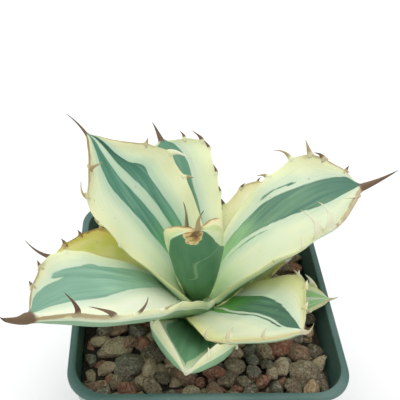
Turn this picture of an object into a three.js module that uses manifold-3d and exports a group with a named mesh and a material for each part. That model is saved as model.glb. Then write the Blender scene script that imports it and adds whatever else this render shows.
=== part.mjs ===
// A young variegated agave in a square nursery pot filled with lava grit.
// Millimetres, +Z up. The origin is the middle of the pot's flat underside and -Y is the front.
// Every piece is a closed solid: where two pieces meet, the older one is cut back by CLEARANCE.

import * as THREE from 'three';
import { mergeVertices } from 'three/addons/utils/BufferGeometryUtils.js';
import Module from 'manifold-3d';

// ---------- driving dimensions ----------

const POT_HEIGHT = 80;
const RIM_SIDE = 90; // outside, across the flats
const RIM_WIDTH = 2.5;
const RIM_DEPTH = 2;
const WALL = 1.4;
const FOOT_SIDE = 66; // outside, across the flats at the ground
const CORNER_RADIUS = 10.5;
const FOOT_CORNER_RADIUS = 8;
const FOOT_BEVEL = 1;
const RIM_TOP_BEVEL = 0.7;
const RIM_EDGE_BEVEL = 0.6; // its inner top edge and its outer lower edge
const FLOOR_THICKNESS = 2.5;
const DRAIN_RADIUS = 3.5;
const DRAIN_FACETS = 16;
const SIDE_DRAIN_REACH = 22.4; // from the middle of the floor
const CORNER_DRAIN_REACH = 29;
const CHANNEL_WIDTH = 5;
const CHANNEL_DEPTH = 1.2;
const CHANNEL_OVERRUN = 6; // how far a channel's cut runs on past the foot's edge

const CLEARANCE = 0.3;
const SLIVER = 0.05; // edges that a cut leaves shorter than this are closed up

const SOIL_LEVEL = 70; // top of the grit bed, under the loose top layer of pebbles
const PEBBLE_PITCH = 7.6;
const PEBBLE_RADIUS = [3.4, 4.2];
const PEBBLE_STRAY = 0.8; // either way from its place in the rows
const PEBBLE_CORNERS = [0.86, 1.14]; // reach of a corner, as a share of the radius
const PEBBLE_FLATNESS = 0.72;
const PEBBLE_HEIGHT = [0.2, 1.1]; // of its middle above the bed
const PEBBLE_SEED = 20;

const STEM_RADIUS = 5;
const STEM_TIP_RADIUS = 2.4;
const STEM_BOTTOM = 56;
const STEM_SHOULDER = 71;
const STEM_TOP = 76.6;
const STEM_FACETS = 20;

const LEAF_BASE_THICKNESS = 6;
const LEAF_TIP_THICKNESS = 2.2;
const LEAF_EDGE_THICKNESS = 1.4;
const LEAF_ROOT_DEPTH = 2.5; // how far a leaf runs on behind its root towards the stem
const LEAF_WRAP = 1.1; // half angle of the channel at a leaf's root, radians
const FULL_LEAF_WIDTH = 40; // a leaf this wide has the full thickness

const BUD_FOOT = [-2, 0, 78];
const BUD_LEAN = 7.5; // degrees, to -X

// Each leaf follows a midrib that starts at root [radius, height] from the stem, heads out along its azimuth
// (degrees, turning by `turn` on the way) and rises at rise[0] degrees, ending at rise[1]. Its width, measured
// round the channel, grows from waist x width to width at `widest` of its length, and closes to the tip: taper 0
// is a round shoulder, 1 a drawn-out point. cup holds the channel's half angle at the tip, left and right looking
// outwards, and wrap the one at the root. A spine runs on from the tip. Each tooth is [side, place, length, and
// its tip's direction out of the edge, along the leaf and up off its face].
const LEAVES = [
  {
    name: 'leaf_back_left', azimuth: 146, turn: -3.5, rise: [53, 37], length: 68, width: 43, widest: 0.62,
    waist: 0.49, cup: [0.33, 0.36], roll: [0, 0], root: [4.5, 77.7], taper: 0.78,
    spine: { length: 8, side: 0.22, lift: 0.05, radius: 0.9 },
    teeth: [
      [1, 0.83, 4, -0.15, -0.15, 1], [1, 0.73, 4, 0.4, 0.9, 0.1], [1, 0.6, 2.3, 0.6, 0.7, 0.1],
      [1, 0.46, 2, 0.8, 0.3, 0.2], [-1, 0.76, 1.8, 0.8, 0.5, 0.3], [-1, 0.65, 6, 0.7, -0.65, 0.35],
      [-1, 0.5, 3, 0.8, -0.45, 0.35],
    ],
  },
  {
    name: 'leaf_right', azimuth: 25.5, turn: -24, rise: [51.5, 29], length: 65.5, width: 41.5, widest: 0.75,
    waist: 0.28, cup: [0.7, 0.7], roll: [0, -3], root: [4.5, 77.3], taper: 0.1,
    spine: { length: 12, side: -0.07, lift: 0.17, radius: 1.3 },
    teeth: [
      [1, 0.94, 1.4, 0.7, 0.7, 0.2], [1, 0.87, 3.5, 0.95, -0.2, 0.3], [1, 0.82, 5.5, 0.95, 0.2, 0.3],
      [1, 0.73, 6.5, 0.95, -0.25, 0.25], [1, 0.59, 2.8, 0.85, -0.45, 0.25], [-1, 0.94, 3, 0.35, -0.9, 0.3],
      [-1, 0.81, 9.5, 0.25, -0.15, 0.95], [-1, 0.72, 10, 0.25, -0.1, 0.95], [-1, 0.58, 2.4, 0.3, 0.35, 0.9],
    ],
  },
  {
    name: 'leaf_front_left', azimuth: 217, turn: 5.5, rise: [41.5, 25.5], length: 76.5, width: 41.5, widest: 0.67,
    waist: 0.33, cup: [0.9, 0.55], roll: [9, 0], root: [5, 75.6], taper: 0.22,
    spine: { length: 12, side: 0.18, lift: 0.41, radius: 1.6 },
    teeth: [
      [1, 0.89, 6.3, 0.25, 0.35, 0.9], [1, 0.8, 6.6, -0.2, 0.75, 0.65], [1, 0.73, 6, 0.85, -0.3, 0.45],
      [1, 0.59, 3, 0.95, -0.35, 0.1], [-1, 0.9, 1.5, 0.8, 0.4, 0.3], [-1, 0.82, 1.8, 0.8, 0.4, 0.4],
      [-1, 0.64, 2.5, 0.9, 0.2, 0.3],
    ],
  },
  {
    name: 'leaf_back', azimuth: 102, turn: 17.5, rise: [48, 37], length: 57.3, width: 31, widest: 0.85,
    waist: 0.56, cup: [0.5, 0.5], roll: [0, 0], root: [5, 75.2], taper: 0.31,
    spine: { length: 6.5, side: 0.15, lift: 0.16, radius: 1 },
    teeth: [
      [-1, 0.94, 2.2, 0.05, 0.95, 0.3], [-1, 0.89, 4, -0.2, 0.9, 0.3], [-1, 0.83, 2.7, 0.05, 0.95, 0.3],
      [-1, 0.67, 2.5, 0.25, 0.95, 0.25], [-1, 0.55, 1.8, 0.4, 0.9, 0.2], [1, 0.9, 3, 0.8, 0.4, 0.3],
      [1, 0.76, 3.5, 0.9, 0.2, 0.3], [1, 0.62, 2.5, 0.9, 0.2, 0.3],
    ],
  },
  {
    name: 'leaf_front_right', azimuth: 300, turn: 15, rise: [42, 27.5], length: 47, width: 41.5, widest: 0.61,
    waist: 0.58, cup: [0.47, 0.47], wrap: 0.75, roll: [-2.5, 2.5], root: [5, 74.3], taper: 0.12,
    spine: { length: 5.5, side: 0.18, lift: 1, radius: 1 },
    teeth: [
      [-1, 0.86, 2.2, 0.4, 0.1, 0.9], [-1, 0.72, 3, 0.3, 0, 0.9], [-1, 0.58, 3, 0.3, 0, 0.9],
      [1, 0.9, 1.5, 0.9, 0.3, 0.3], [1, 0.77, 2, 1, 0, 0.3], [1, 0.62, 2, 1, 0, 0.3],
    ],
  },
  {
    name: 'leaf_left', azimuth: 172, turn: -1.5, rise: [19.5, 10.5], length: 52, width: 32, widest: 0.71,
    waist: 0.55, cup: [0.5, 0.5], roll: [0, 0], root: [5, 74], taper: 0.34,
    spine: { length: 10, side: -0.15, lift: 0.36, radius: 0.8 },
    teeth: [
      [-1, 0.92, 2, 0.7, 0.65, 0.3], [-1, 0.84, 1.6, 0.75, 0.6, 0.3], [-1, 0.72, 2.5, 0.9, 0.2, 0.3],
      [-1, 0.6, 2, 1, 0, 0.3], [1, 0.85, 2, 0.8, 0.4, 0.3], [1, 0.71, 2.5, 1, 0, 0.3],
    ],
  },
  {
    name: 'leaf_back_right', azimuth: 46.5, turn: -3.5, rise: [30.5, 19], length: 55, width: 34, widest: 0.71,
    waist: 0.55, cup: [0.6, 0.6], roll: [0, 0], root: [5, 73.4], taper: 0.25,
    spine: { length: 6, side: 0, lift: 0.25, radius: 1 },
    teeth: [
      [1, 0.53, 4, 0.9, 0.4, 0.2], [1, 0.7, 1.8, 0.3, 0.8, 0.5], [1, 0.82, 1.5, 0.5, 0.7, 0.5],
      [-1, 0.84, 2.2, 0.9, 0.3, 0.3], [-1, 0.72, 3, 1, 0, 0.3], [-1, 0.6, 2.4, 1, 0, 0.3],
    ],
  },
  {
    name: 'leaf_front', azimuth: 258, turn: 0, rise: [23.5, 26.5], length: 41, width: 40.5, widest: 0.81,
    waist: 0.6, cup: [1.8, 1.5], wrap: 1.5, roll: [-1, -6], root: [5, 72.7], taper: 0.31, thickness: 4.5,
    spine: { length: 2.5, side: 0, lift: 0.6, radius: 1 },
    teeth: [
      [-1, 0.6, 2.4, 0.9, -0.2, 0.4], [-1, 0.7, 2.4, 0.9, -0.2, 0.4], [-1, 0.84, 3.5, 0.6, -0.3, 0.8],
      [1, 0.76, 2.6, 0.6, -0.3, 0.8], [1, 0.87, 3, 0.6, -0.3, 0.8],
    ],
  },
  {
    name: 'leaf_low_back_left', azimuth: 126, turn: 0, rise: [17, 13], length: 39, width: 22, widest: 0.62,
    waist: 0.6, cup: [0.5, 0.5], roll: [0, 0], root: [5, 72.2], taper: 0.3,
    spine: { length: 4, side: 0, lift: 0.3, radius: 0.8 },
    teeth: [
      [1, 0.8, 2, 1, 0.2, 0.3], [1, 0.62, 2.2, 1, 0, 0.3], [-1, 0.8, 2, 1, 0.2, 0.3], [-1, 0.62, 2.2, 1, 0, 0.3],
    ],
  },
  {
    name: 'leaf_low_right', azimuth: 349, turn: 5.5, rise: [18, 14.5], length: 41.5, width: 19, widest: 0.62,
    waist: 0.6, cup: [0.55, 0.55], roll: [0, 0], root: [5, 71.7], taper: 0.19,
    spine: { length: 2.5, side: 0.06, lift: 0.3, radius: 0.7 },
    teeth: [
      [1, 0.86, 4.3, 0.9, -0.35, 0.25], [1, 0.76, 3.8, 0.9, -0.35, 0.25], [-1, 0.8, 1.6, 1, 0.2, 0.3],
      [-1, 0.64, 1.6, 1, 0, 0.3],
    ],
  },
  {
    name: 'leaf_low_back', azimuth: 73, turn: 0, rise: [14, 12], length: 37, width: 20, widest: 0.6,
    waist: 0.6, cup: [0.5, 0.5], roll: [0, 0], root: [5, 71.3], taper: 0.3,
    spine: { length: 3.5, side: 0, lift: 0.3, radius: 0.7 },
    teeth: [[1, 0.78, 2, 1, 0.2, 0.3], [1, 0.6, 2, 1, 0, 0.3], [-1, 0.78, 2, 1, 0.2, 0.3], [-1, 0.6, 2, 1, 0, 0.3]],
  },
  {
    name: 'leaf_low_small', azimuth: 30, turn: -12.5, rise: [22, 9.5], length: 32, width: 14, widest: 0.48,
    waist: 0.6, cup: [0.6, 0.6], roll: [0, 0], root: [5, 71.5], taper: 0.5,
    spine: { length: 3.5, side: 0.1, lift: 0.5, radius: 0.8 },
    teeth: [[1, 0.7, 1.6, 1, 0.2, 0.3], [-1, 0.7, 1.8, 1, 0.2, 0.5]],
  },
];

// The closed bud in the middle, from the inside out: a rolled spear and two leaves that still clasp it. They are
// written as the leaves are, round the bud's own axis.
const BUD = [
  {
    name: 'bud_spear', azimuth: 197, turn: 0, rise: [84, 94], length: 28, width: 13, widest: 0.4, waist: 0.8,
    cup: [2, 2], wrap: 2, roll: [0, 0], root: [1.8, 79], taper: 0.5, thickness: 1.8,
    spine: { length: 4, side: 0, lift: 0, radius: 0.7 }, teeth: [],
  },
  {
    name: 'bud_back_leaf', azimuth: 118, turn: 5, rise: [80, 97], length: 28.5, width: 23, widest: 0.6, waist: 0.6,
    cup: [1.5, 1.5], wrap: 1.5, roll: [0, 0], root: [3, 79], taper: 0.4, thickness: 2,
    spine: { length: 12, side: 0.12, lift: 0, radius: 1 }, teeth: [],
  },
  {
    name: 'bud_front_leaf', azimuth: 280, turn: 0, rise: [64, 101], length: 39, width: 29, widest: 0.82, waist: 0.45,
    cup: [1.7, 1.7], wrap: 1.6, roll: [0, 0], root: [2.4, 79.5], taper: 0.15, thickness: 2.2,
    spine: { length: 6, side: 0.4, lift: -0.1, radius: 1 }, teeth: [],
  },
];

const STATIONS = [0, 0.08, 0.17, 0.27, 0.38, 0.49, 0.6, 0.7, 0.79, 0.87, 0.93, 0.97];
const ACROSS = [1, 0.55, 0, -0.55, -1];
const MIDRIB_STEPS = 40;
const WAIST_CURVE = 1.2; // powers that shape a leaf's outline, thickness and channel
const SHOULDER_CURVE = 1.9;
const THINNING_CURVE = 0.9;
const UNWRAP_CURVE = 3;
const SPINE_STATIONS = [0.12, 0.5, 0.8, 1];
const SPINE_POINT_RADIUS = 0.22;
const SPINE_CURVE = 0.8;
const TOOTH_ROOT_DEPTH = 1.5;
// Sections of a tooth: place, half breadth per root of the length and beyond it, and half thickness.
const TOOTH_SECTIONS = [[0, 0.3, 0.5, 0.42], [0.5, 0.2, 0.2, 0.36], [1, 0, 0.2, 0.16]];
const CORNER_STEPS = 5;

const COLOURS = {
  pot: { color: 0x33504b, roughness: 0.5 },
  substrate: { color: 0x6f5649, roughness: 0.95 },
  stem: { color: 0xb9b78a, roughness: 0.7 },
  leaf: { color: 0xc9d5a6, roughness: 0.5 },
  lowLeaf: { color: 0xb7bf6c, roughness: 0.55 },
  bud: { color: 0x4d7a58, roughness: 0.5 },
};

const mix = (from, to, share) => from + (to - from) * share;

// ---------- closed surfaces and solids ----------

const wasm = await Module();
wasm.setup();

/** Six times the volume inside a closed triangle list: positive when its faces point out. */
function signedVolume(position, index) {
  const at = (k) => new THREE.Vector3().fromArray(position, index[k] * 3);
  let sum = 0;
  for (let k = 0; k < index.length; k += 3) {
    sum += at(k).dot(at(k + 1).cross(at(k + 2)));
  }
  return sum;
}

/** A closed BufferGeometry whose faces point out, whichever way its triangles were listed. */
function closedGeometry(points, index) {
  const position = points.flatMap((point) => point.toArray());
  const outward = signedVolume(position, index) > 0 ? index : index.toReversed();
  const geometry = new THREE.BufferGeometry();
  geometry.setAttribute('position', new THREE.Float32BufferAttribute(position, 3));
  geometry.setIndex(outward);
  return geometry;
}

/** The surface through a row of rings with equal, even counts of points, closed by a strip at both ends. */
function loftGeometry(rings) {
  const count = rings[0].length;
  const last = (rings.length - 1) * count;
  const index = [];
  for (let ring = 0; ring + 1 < rings.length; ring += 1) {
    for (let j = 0; j < count; j += 1) {
      const a = ring * count + j;
      const b = ring * count + ((j + 1) % count);
      index.push(a, b, b + count, a, b + count, a + count);
    }
  }
  for (let j = 0; j + 1 < count / 2; j += 1) {
    const across = count - 1 - j;
    if (across - 1 > j + 1) {
      index.push(j, across - 1, j + 1);
      index.push(last + j, last + j + 1, last + across - 1);
    }
    index.push(j, across, across - 1);
    index.push(last + j, last + across - 1, last + across);
  }
  return closedGeometry(rings.flat(), index);
}

/** The solid inside a closed geometry. */
function solid(geometry) {
  const bare = geometry.clone();
  bare.deleteAttribute('normal');
  bare.deleteAttribute('uv');
  const merged = mergeVertices(bare, 1e-4);
  const mesh = new wasm.Mesh({
    numProp: 3,
    vertProperties: new Float32Array(merged.getAttribute('position').array),
    triVerts: new Uint32Array(merged.getIndex().array),
  });
  return new wasm.Manifold(mesh);
}

const joined = (solids) => solids.reduce((whole, piece) => whole.add(piece));

/** The largest body of a solid, without the scraps that a cut leaves. */
function largestBody(shape) {
  const bodies = shape.decompose();
  return bodies.reduce((best, body) => (body.volume() > best.volume() ? body : best));
}

/** A named mesh of a solid, with a material of its own. */
function pieceMesh(name, shape, look) {
  const { vertProperties, triVerts } = shape.getMesh();
  const geometry = new THREE.BufferGeometry();
  geometry.setAttribute('position', new THREE.Float32BufferAttribute(vertProperties, 3));
  geometry.setIndex(Array.from(triVerts));
  geometry.computeVertexNormals();
  const mesh = new THREE.Mesh(geometry, new THREE.MeshStandardMaterial({ ...look, metalness: 0, flatShading: true }));
  mesh.name = name;
  return mesh;
}

// ---------- pot ----------

/** A square outline with round corners at height z, counter-clockwise from above. */
function roundedSquare(side, corner, z) {
  const reach = side / 2 - corner;
  const centres = [[reach, reach], [-reach, reach], [-reach, -reach], [reach, -reach]];
  return centres.flatMap(([x, y], quarter) =>
    Array.from({ length: CORNER_STEPS + 1 }, (_, step) => {
      const angle = (quarter + step / CORNER_STEPS) * (Math.PI / 2);
      return new THREE.Vector3(x + corner * Math.cos(angle), y + corner * Math.sin(angle), z);
    }),
  );
}

/** Outside width of the tapered wall at height z. */
function wallSide(z) {
  const widest = RIM_SIDE - 2 * RIM_WIDTH + 2 * WALL;
  return FOOT_SIDE + (widest - FOOT_SIDE) * (z / (POT_HEIGHT - RIM_DEPTH));
}

/** Corner radius of the tapered wall at height z. */
function wallCorner(z) {
  return FOOT_CORNER_RADIUS + (CORNER_RADIUS - WALL + CLEARANCE - FOOT_CORNER_RADIUS) * (z / POT_HEIGHT);
}

/** Outline of the pot's inside at height z, drawn in by a gap. */
function insideOutline(z, gap) {
  const side = Math.min(wallSide(z) - 2 * WALL, RIM_SIDE - 2 * RIM_WIDTH);
  return roundedSquare(side - 2 * gap, wallCorner(z) - WALL - gap, z);
}

/** Outline of the rim at height z, drawn in by inset from its outside. */
function rimOutline(z, inset) {
  return roundedSquare(RIM_SIDE - 2 * inset, CORNER_RADIUS - inset, z);
}

function potSolid() {
  const rimBottom = POT_HEIGHT - RIM_DEPTH;
  const shell = solid(loftGeometry([
    roundedSquare(FOOT_SIDE - 2 * FOOT_BEVEL, FOOT_CORNER_RADIUS - FOOT_BEVEL, 0),
    roundedSquare(wallSide(FOOT_BEVEL), wallCorner(FOOT_BEVEL), FOOT_BEVEL),
    roundedSquare(wallSide(rimBottom), wallCorner(rimBottom), rimBottom),
    rimOutline(rimBottom, RIM_EDGE_BEVEL / 2),
    rimOutline(rimBottom + RIM_EDGE_BEVEL, 0),
    rimOutline(POT_HEIGHT - RIM_TOP_BEVEL, 0),
    rimOutline(POT_HEIGHT, RIM_TOP_BEVEL),
    rimOutline(POT_HEIGHT, RIM_WIDTH - RIM_EDGE_BEVEL),
    rimOutline(POT_HEIGHT - RIM_EDGE_BEVEL, RIM_WIDTH),
    insideOutline(rimBottom, 0),
    insideOutline(FLOOR_THICKNESS, 0),
  ]));
  return drainCuts().reduce((pot, cut) => pot.subtract(cut), shell);
}

/** Round drain holes near the corners and mid-sides, with shallow channels from hole to edge underneath. */
function drainCuts() {
  const cuts = [];
  for (let eighth = 0; eighth < 8; eighth += 1) {
    const angle = (eighth * Math.PI) / 4;
    const reach = eighth % 2 ? CORNER_DRAIN_REACH : SIDE_DRAIN_REACH;
    const hole = new THREE.CylinderGeometry(DRAIN_RADIUS, DRAIN_RADIUS, 4 * FLOOR_THICKNESS, DRAIN_FACETS);
    hole.rotateX(Math.PI / 2);
    hole.translate(reach * Math.cos(angle), reach * Math.sin(angle), FLOOR_THICKNESS);
    cuts.push(solid(hole));
    if (eighth % 2 === 0) {
      const end = FOOT_SIDE / 2 + CHANNEL_OVERRUN;
      const channel = new THREE.BoxGeometry(end - reach, CHANNEL_WIDTH, 2 * CHANNEL_DEPTH);
      channel.translate((end + reach) / 2, 0, 0);
      channel.rotateZ(angle);
      cuts.push(solid(channel));
    }
  }
  return cuts;
}

// ---------- grit ----------

/** A seeded stream of numbers from 0 to 1. */
function seededRandom(seed) {
  let state = seed;
  return () => {
    state = (state + 0x6d2b79f5) | 0;
    let t = Math.imul(state ^ (state >>> 15), 1 | state);
    t = (t + Math.imul(t ^ (t >>> 7), 61 | t)) ^ t;
    return ((t ^ (t >>> 14)) >>> 0) / 4294967296;
  };
}

/** One angular pebble: a squashed and turned icosahedron with its corners pushed about. */
function pebbleSolid(x, y, radius, random) {
  const between = ([low, high]) => mix(low, high, random());
  const pebble = mergeVertices(new THREE.IcosahedronGeometry(radius, 0).deleteAttribute('normal').deleteAttribute('uv'));
  const position = pebble.getAttribute('position');
  const corner = new THREE.Vector3();
  for (let k = 0; k < position.count; k += 1) {
    corner.fromBufferAttribute(position, k).multiplyScalar(between(PEBBLE_CORNERS));
    position.setXYZ(k, corner.x, corner.y, corner.z);
  }
  pebble.rotateX(random() * Math.PI);
  pebble.rotateZ(random() * Math.PI);
  pebble.scale(1, 1, PEBBLE_FLATNESS);
  pebble.translate(x, y, SOIL_LEVEL + between(PEBBLE_HEIGHT));
  return solid(pebble);
}

/** True where a disc at (x, y) lies inside the pot's mouth. */
function insidePot(x, y, radius) {
  const half = (wallSide(SOIL_LEVEL) - 2 * WALL) / 2 - radius;
  const corner = wallCorner(SOIL_LEVEL) - WALL;
  const dx = Math.abs(x) - (half - corner);
  const dy = Math.abs(y) - (half - corner);
  return Math.hypot(Math.max(dx, 0), Math.max(dy, 0)) <= corner;
}

function substrateSolid() {
  const random = seededRandom(PEBBLE_SEED);
  const bed = solid(loftGeometry([
    insideOutline(FLOOR_THICKNESS + CLEARANCE, CLEARANCE),
    insideOutline(SOIL_LEVEL, CLEARANCE),
  ]));
  const pebbles = [];
  const rowPitch = PEBBLE_PITCH * Math.sin(Math.PI / 3);
  const rows = Math.ceil(RIM_SIDE / 2 / rowPitch);
  const stray = () => mix(-PEBBLE_STRAY, PEBBLE_STRAY, random());
  for (let row = -rows; row <= rows; row += 1) {
    for (let column = -rows; column <= rows; column += 1) {
      const radius = mix(...PEBBLE_RADIUS, random());
      const x = (column + (row % 2) / 2) * PEBBLE_PITCH + stray();
      const y = row * rowPitch + stray();
      if (insidePot(x, y, radius / 2) && Math.hypot(x, y) > 2 * STEM_RADIUS) {
        pebbles.push(pebbleSolid(x, y, radius, random));
      }
    }
  }
  const mouth = solid(loftGeometry([
    insideOutline(FLOOR_THICKNESS + CLEARANCE, CLEARANCE),
    insideOutline(SOIL_LEVEL, CLEARANCE),
    insideOutline(POT_HEIGHT - RIM_DEPTH, CLEARANCE).map((point) => point.setZ(POT_HEIGHT)),
  ]));
  return joined([bed, ...pebbles]).intersect(mouth);
}

// ---------- stem ----------

/** The short stem, or the hole that it stands in when it is swelled. */
function stemSolid(swell) {
  const radius = STEM_RADIUS + swell;
  const profile = [
    [0, STEM_BOTTOM - swell],
    [radius - 1, STEM_BOTTOM - swell],
    [radius, STEM_BOTTOM + 2],
    [radius, STEM_SHOULDER],
    [STEM_TIP_RADIUS + swell, STEM_TOP + swell],
    [0, STEM_TOP + swell],
  ];
  const lathe = new THREE.LatheGeometry(profile.map(([r, z]) => new THREE.Vector2(r, z)), STEM_FACETS);
  lathe.rotateX(Math.PI / 2);
  return solid(lathe);
}

// ---------- leaves ----------

/** Share of a leaf's full width at place t of its length. */
function widthShare(leaf, t) {
  if (t < leaf.widest) {
    return mix(leaf.waist, 1, Math.sin((Math.PI / 2) * (t / leaf.widest)) ** WAIST_CURVE);
  }
  const past = (t - leaf.widest) / (1 - leaf.widest);
  return mix(1 - past ** SHOULDER_CURVE, (1 + Math.cos(Math.PI * past)) / 2, leaf.taper);
}

/** Direction of the midrib at place t. */
function alongDirection(leaf, t) {
  const azimuth = THREE.MathUtils.degToRad(leaf.azimuth + leaf.turn * t);
  const rise = THREE.MathUtils.degToRad(mix(leaf.rise[0], leaf.rise[1], t));
  return new THREE.Vector3(Math.cos(rise) * Math.cos(azimuth), Math.cos(rise) * Math.sin(azimuth), Math.sin(rise));
}

/** Midrib point of the upper face and the directions along, to the left of and up from the leaf at place t. */
function leafFrame(leaf, t) {
  const start = THREE.MathUtils.degToRad(leaf.azimuth);
  const point = new THREE.Vector3(leaf.root[0] * Math.cos(start), leaf.root[0] * Math.sin(start), leaf.root[1]);
  const steps = Math.ceil(t * MIDRIB_STEPS);
  for (let k = 0; k < steps; k += 1) {
    point.addScaledVector(alongDirection(leaf, ((k + 0.5) / steps) * t), (leaf.length * t) / steps);
  }
  const along = alongDirection(leaf, t);
  const azimuth = THREE.MathUtils.degToRad(leaf.azimuth + leaf.turn * t);
  const roll = THREE.MathUtils.degToRad(mix(leaf.roll[0], leaf.roll[1], t));
  const side = new THREE.Vector3(-Math.sin(azimuth), Math.cos(azimuth), 0).applyAxisAngle(along, roll);
  const up = along.clone().cross(side);
  return { point, along, side, up };
}

/** Thickness at place t, at the share u of the half width. */
function leafThickness(leaf, t, u) {
  const size = Math.min(leaf.width / FULL_LEAF_WIDTH, 1);
  const base = leaf.thickness ?? Math.max(LEAF_BASE_THICKNESS * size, 2 * LEAF_EDGE_THICKNESS);
  const middle = mix(base, Math.max(LEAF_TIP_THICKNESS * size, LEAF_EDGE_THICKNESS), t ** THINNING_CURVE);
  return mix(middle, Math.min(LEAF_EDGE_THICKNESS, middle), u * u);
}

/** Half angle of the channel at place t on the side of u. */
function wrapAngle(leaf, t, u) {
  const end = u > 0 ? leaf.cup[0] : leaf.cup[1];
  return end + ((leaf.wrap ?? LEAF_WRAP) - end) * (1 - t) ** UNWRAP_CURVE;
}

/** Point and normal of the upper face at place t and share u of the half width, the half width being swelled. */
function facePoint(leaf, frame, t, u, swell) {
  const wrap = wrapAngle(leaf, t, u);
  const half = (leaf.width / 2) * widthShare(leaf, t) + swell;
  const radius = half / wrap;
  const angle = wrap * u;
  const point = frame.point.clone()
    .addScaledVector(frame.side, radius * Math.sin(angle))
    .addScaledVector(frame.up, radius * (1 - Math.cos(angle)));
  const normal = frame.up.clone().multiplyScalar(Math.cos(angle)).addScaledVector(frame.side, -Math.sin(angle));
  return { point, normal };
}

/** Section of the leaf at place t: across the upper face from left to right, and back along the lower face. */
function leafRing(leaf, t, swell) {
  const frame = leafFrame(leaf, t);
  const shift = t === 0 ? -LEAF_ROOT_DEPTH - swell : 0;
  const upper = [];
  const lower = [];
  for (const u of ACROSS) {
    const { point, normal } = facePoint(leaf, frame, t, u, swell);
    point.addScaledVector(frame.along, shift);
    upper.push(point.clone().addScaledVector(normal, swell));
    lower.unshift(point.addScaledVector(normal, -leafThickness(leaf, t, u) - swell));
  }
  return [...upper, ...lower];
}

/** Rings of the spine that runs on from the tip, with as many points as a section. */
function spineRings(leaf, swell) {
  const { length, side, lift, radius } = leaf.spine;
  const frame = leafFrame(leaf, 1);
  const axis = frame.point.clone().addScaledVector(frame.up, -leafThickness(leaf, 1, 0) / 2);
  const forward = length / Math.hypot(1, side, lift);
  return SPINE_STATIONS.map((s) => {
    const reach = s === 1 ? forward + swell : forward * s;
    const centre = axis.clone()
      .addScaledVector(frame.along, reach)
      .addScaledVector(frame.side, forward * side * s * s)
      .addScaledVector(frame.up, forward * lift * s * s);
    const size = mix(radius, SPINE_POINT_RADIUS, s ** SPINE_CURVE) + swell;
    return Array.from({ length: 2 * ACROSS.length }, (_, k) => {
      const angle = ((k + 0.5) / ACROSS.length) * Math.PI;
      return centre.clone()
        .addScaledVector(frame.side, size * Math.cos(angle))
        .addScaledVector(frame.up, size * Math.sin(angle));
    });
  });
}

/** A bent four-sided tooth whose root is sunk in the leaf's edge, its sections square to its line. */
function toothSolid(leaf, [edge, place, length, out, lean, lift], swell) {
  const frame = leafFrame(leaf, place);
  const { point, normal } = facePoint(leaf, frame, place, edge, 0);
  const outward = normal.clone().cross(frame.along).multiplyScalar(edge);
  const root = point.addScaledVector(normal, -leafThickness(leaf, place, edge) / 2).addScaledVector(outward, -TOOTH_ROOT_DEPTH);
  const tip = outward.clone().multiplyScalar(out)
    .addScaledVector(frame.along, lean)
    .addScaledVector(normal, lift)
    .normalize();
  return solid(loftGeometry(TOOTH_SECTIONS.map(([s, spread, least, thin]) => {
    const reach = (length + TOOTH_ROOT_DEPTH) * s + (s === 1 ? swell : 0);
    const heading = outward.clone().multiplyScalar(1 - 2 * s).addScaledVector(tip, 2 * s).normalize();
    const turn = new THREE.Quaternion().setFromUnitVectors(outward, heading);
    const centre = root.clone().addScaledVector(outward, reach * (1 - s)).addScaledVector(tip, reach * s);
    const broad = frame.along.clone().applyQuaternion(turn).multiplyScalar(spread * length ** 0.5 + least + swell);
    const deep = normal.clone().applyQuaternion(turn).multiplyScalar(thin + swell);
    return [centre.clone().add(broad), centre.clone().add(deep), centre.clone().sub(broad), centre.clone().sub(deep)];
  })));
}

/** A leaf with its spine and teeth, grown by swell on every side. */
function leafSolid(leaf, swell) {
  const blade = STATIONS.map((t) => leafRing(leaf, t, swell));
  const body = solid(loftGeometry([...blade, ...spineRings(leaf, swell)]));
  return joined([body, ...leaf.teeth.map((tooth) => toothSolid(leaf, tooth, swell))]);
}

/** Turns a shape that was made upright at the bud's foot to the bud's lean. */
function leanBud(shape) {
  const [x, y, z] = BUD_FOOT;
  const lean = new THREE.Matrix4().makeTranslation(x, y, z)
    .multiply(new THREE.Matrix4().makeRotationY(-THREE.MathUtils.degToRad(BUD_LEAN)))
    .multiply(new THREE.Matrix4().makeTranslation(0, 0, -z));
  return shape.transform(lean.toArray());
}

// ---------- assembly ----------

const plant = new THREE.Group();
plant.name = 'potted_agave';

/** The youngest pieces that are placed, each grown by the clearance. */
const placed = [stemSolid(CLEARANCE)];

/** The main body of a shape that is cut clear of all that is already placed. */
const cutClear = (shape) => largestBody(placed.reduce((rest, other) => rest.subtract(other), shape));

/** Cuts a leaf clear of the younger ones, adds it to the plant and keeps its swelled form to cut the next. */
function placeLeaf(name, shape, swelled, look) {
  plant.add(pieceMesh(name, cutClear(shape).asOriginal().simplify(SLIVER), look));
  placed.push(swelled);
}

plant.add(pieceMesh('stem', stemSolid(0), COLOURS.stem));
for (const leaf of BUD) {
  placeLeaf(leaf.name, leanBud(leafSolid(leaf, 0)), leanBud(leafSolid(leaf, CLEARANCE)), COLOURS.bud);
}
for (const leaf of LEAVES) {
  const look = leaf.root[1] < 73 ? COLOURS.lowLeaf : COLOURS.leaf;
  placeLeaf(leaf.name, leafSolid(leaf, 0), leafSolid(leaf, CLEARANCE), look);
}
plant.add(pieceMesh('substrate', cutClear(substrateSolid()), COLOURS.substrate));
plant.add(pieceMesh('pot', potSolid(), COLOURS.pot));

export default plant;
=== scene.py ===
"""A young variegated agave in a square nursery pot of lava grit.

Lengths in the dataclasses are millimetres in the frame of the solids: +Z up, the origin in the middle of the
pot's underside, -Y to the front. They become metres where a mesh is made.
"""

from __future__ import annotations

import logging
import math
from dataclasses import dataclass, field, replace
from enum import Enum
from typing import NamedTuple

import bpy
import numpy as np
from mathutils import Matrix, Vector
from mathutils.kdtree import KDTree

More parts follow.
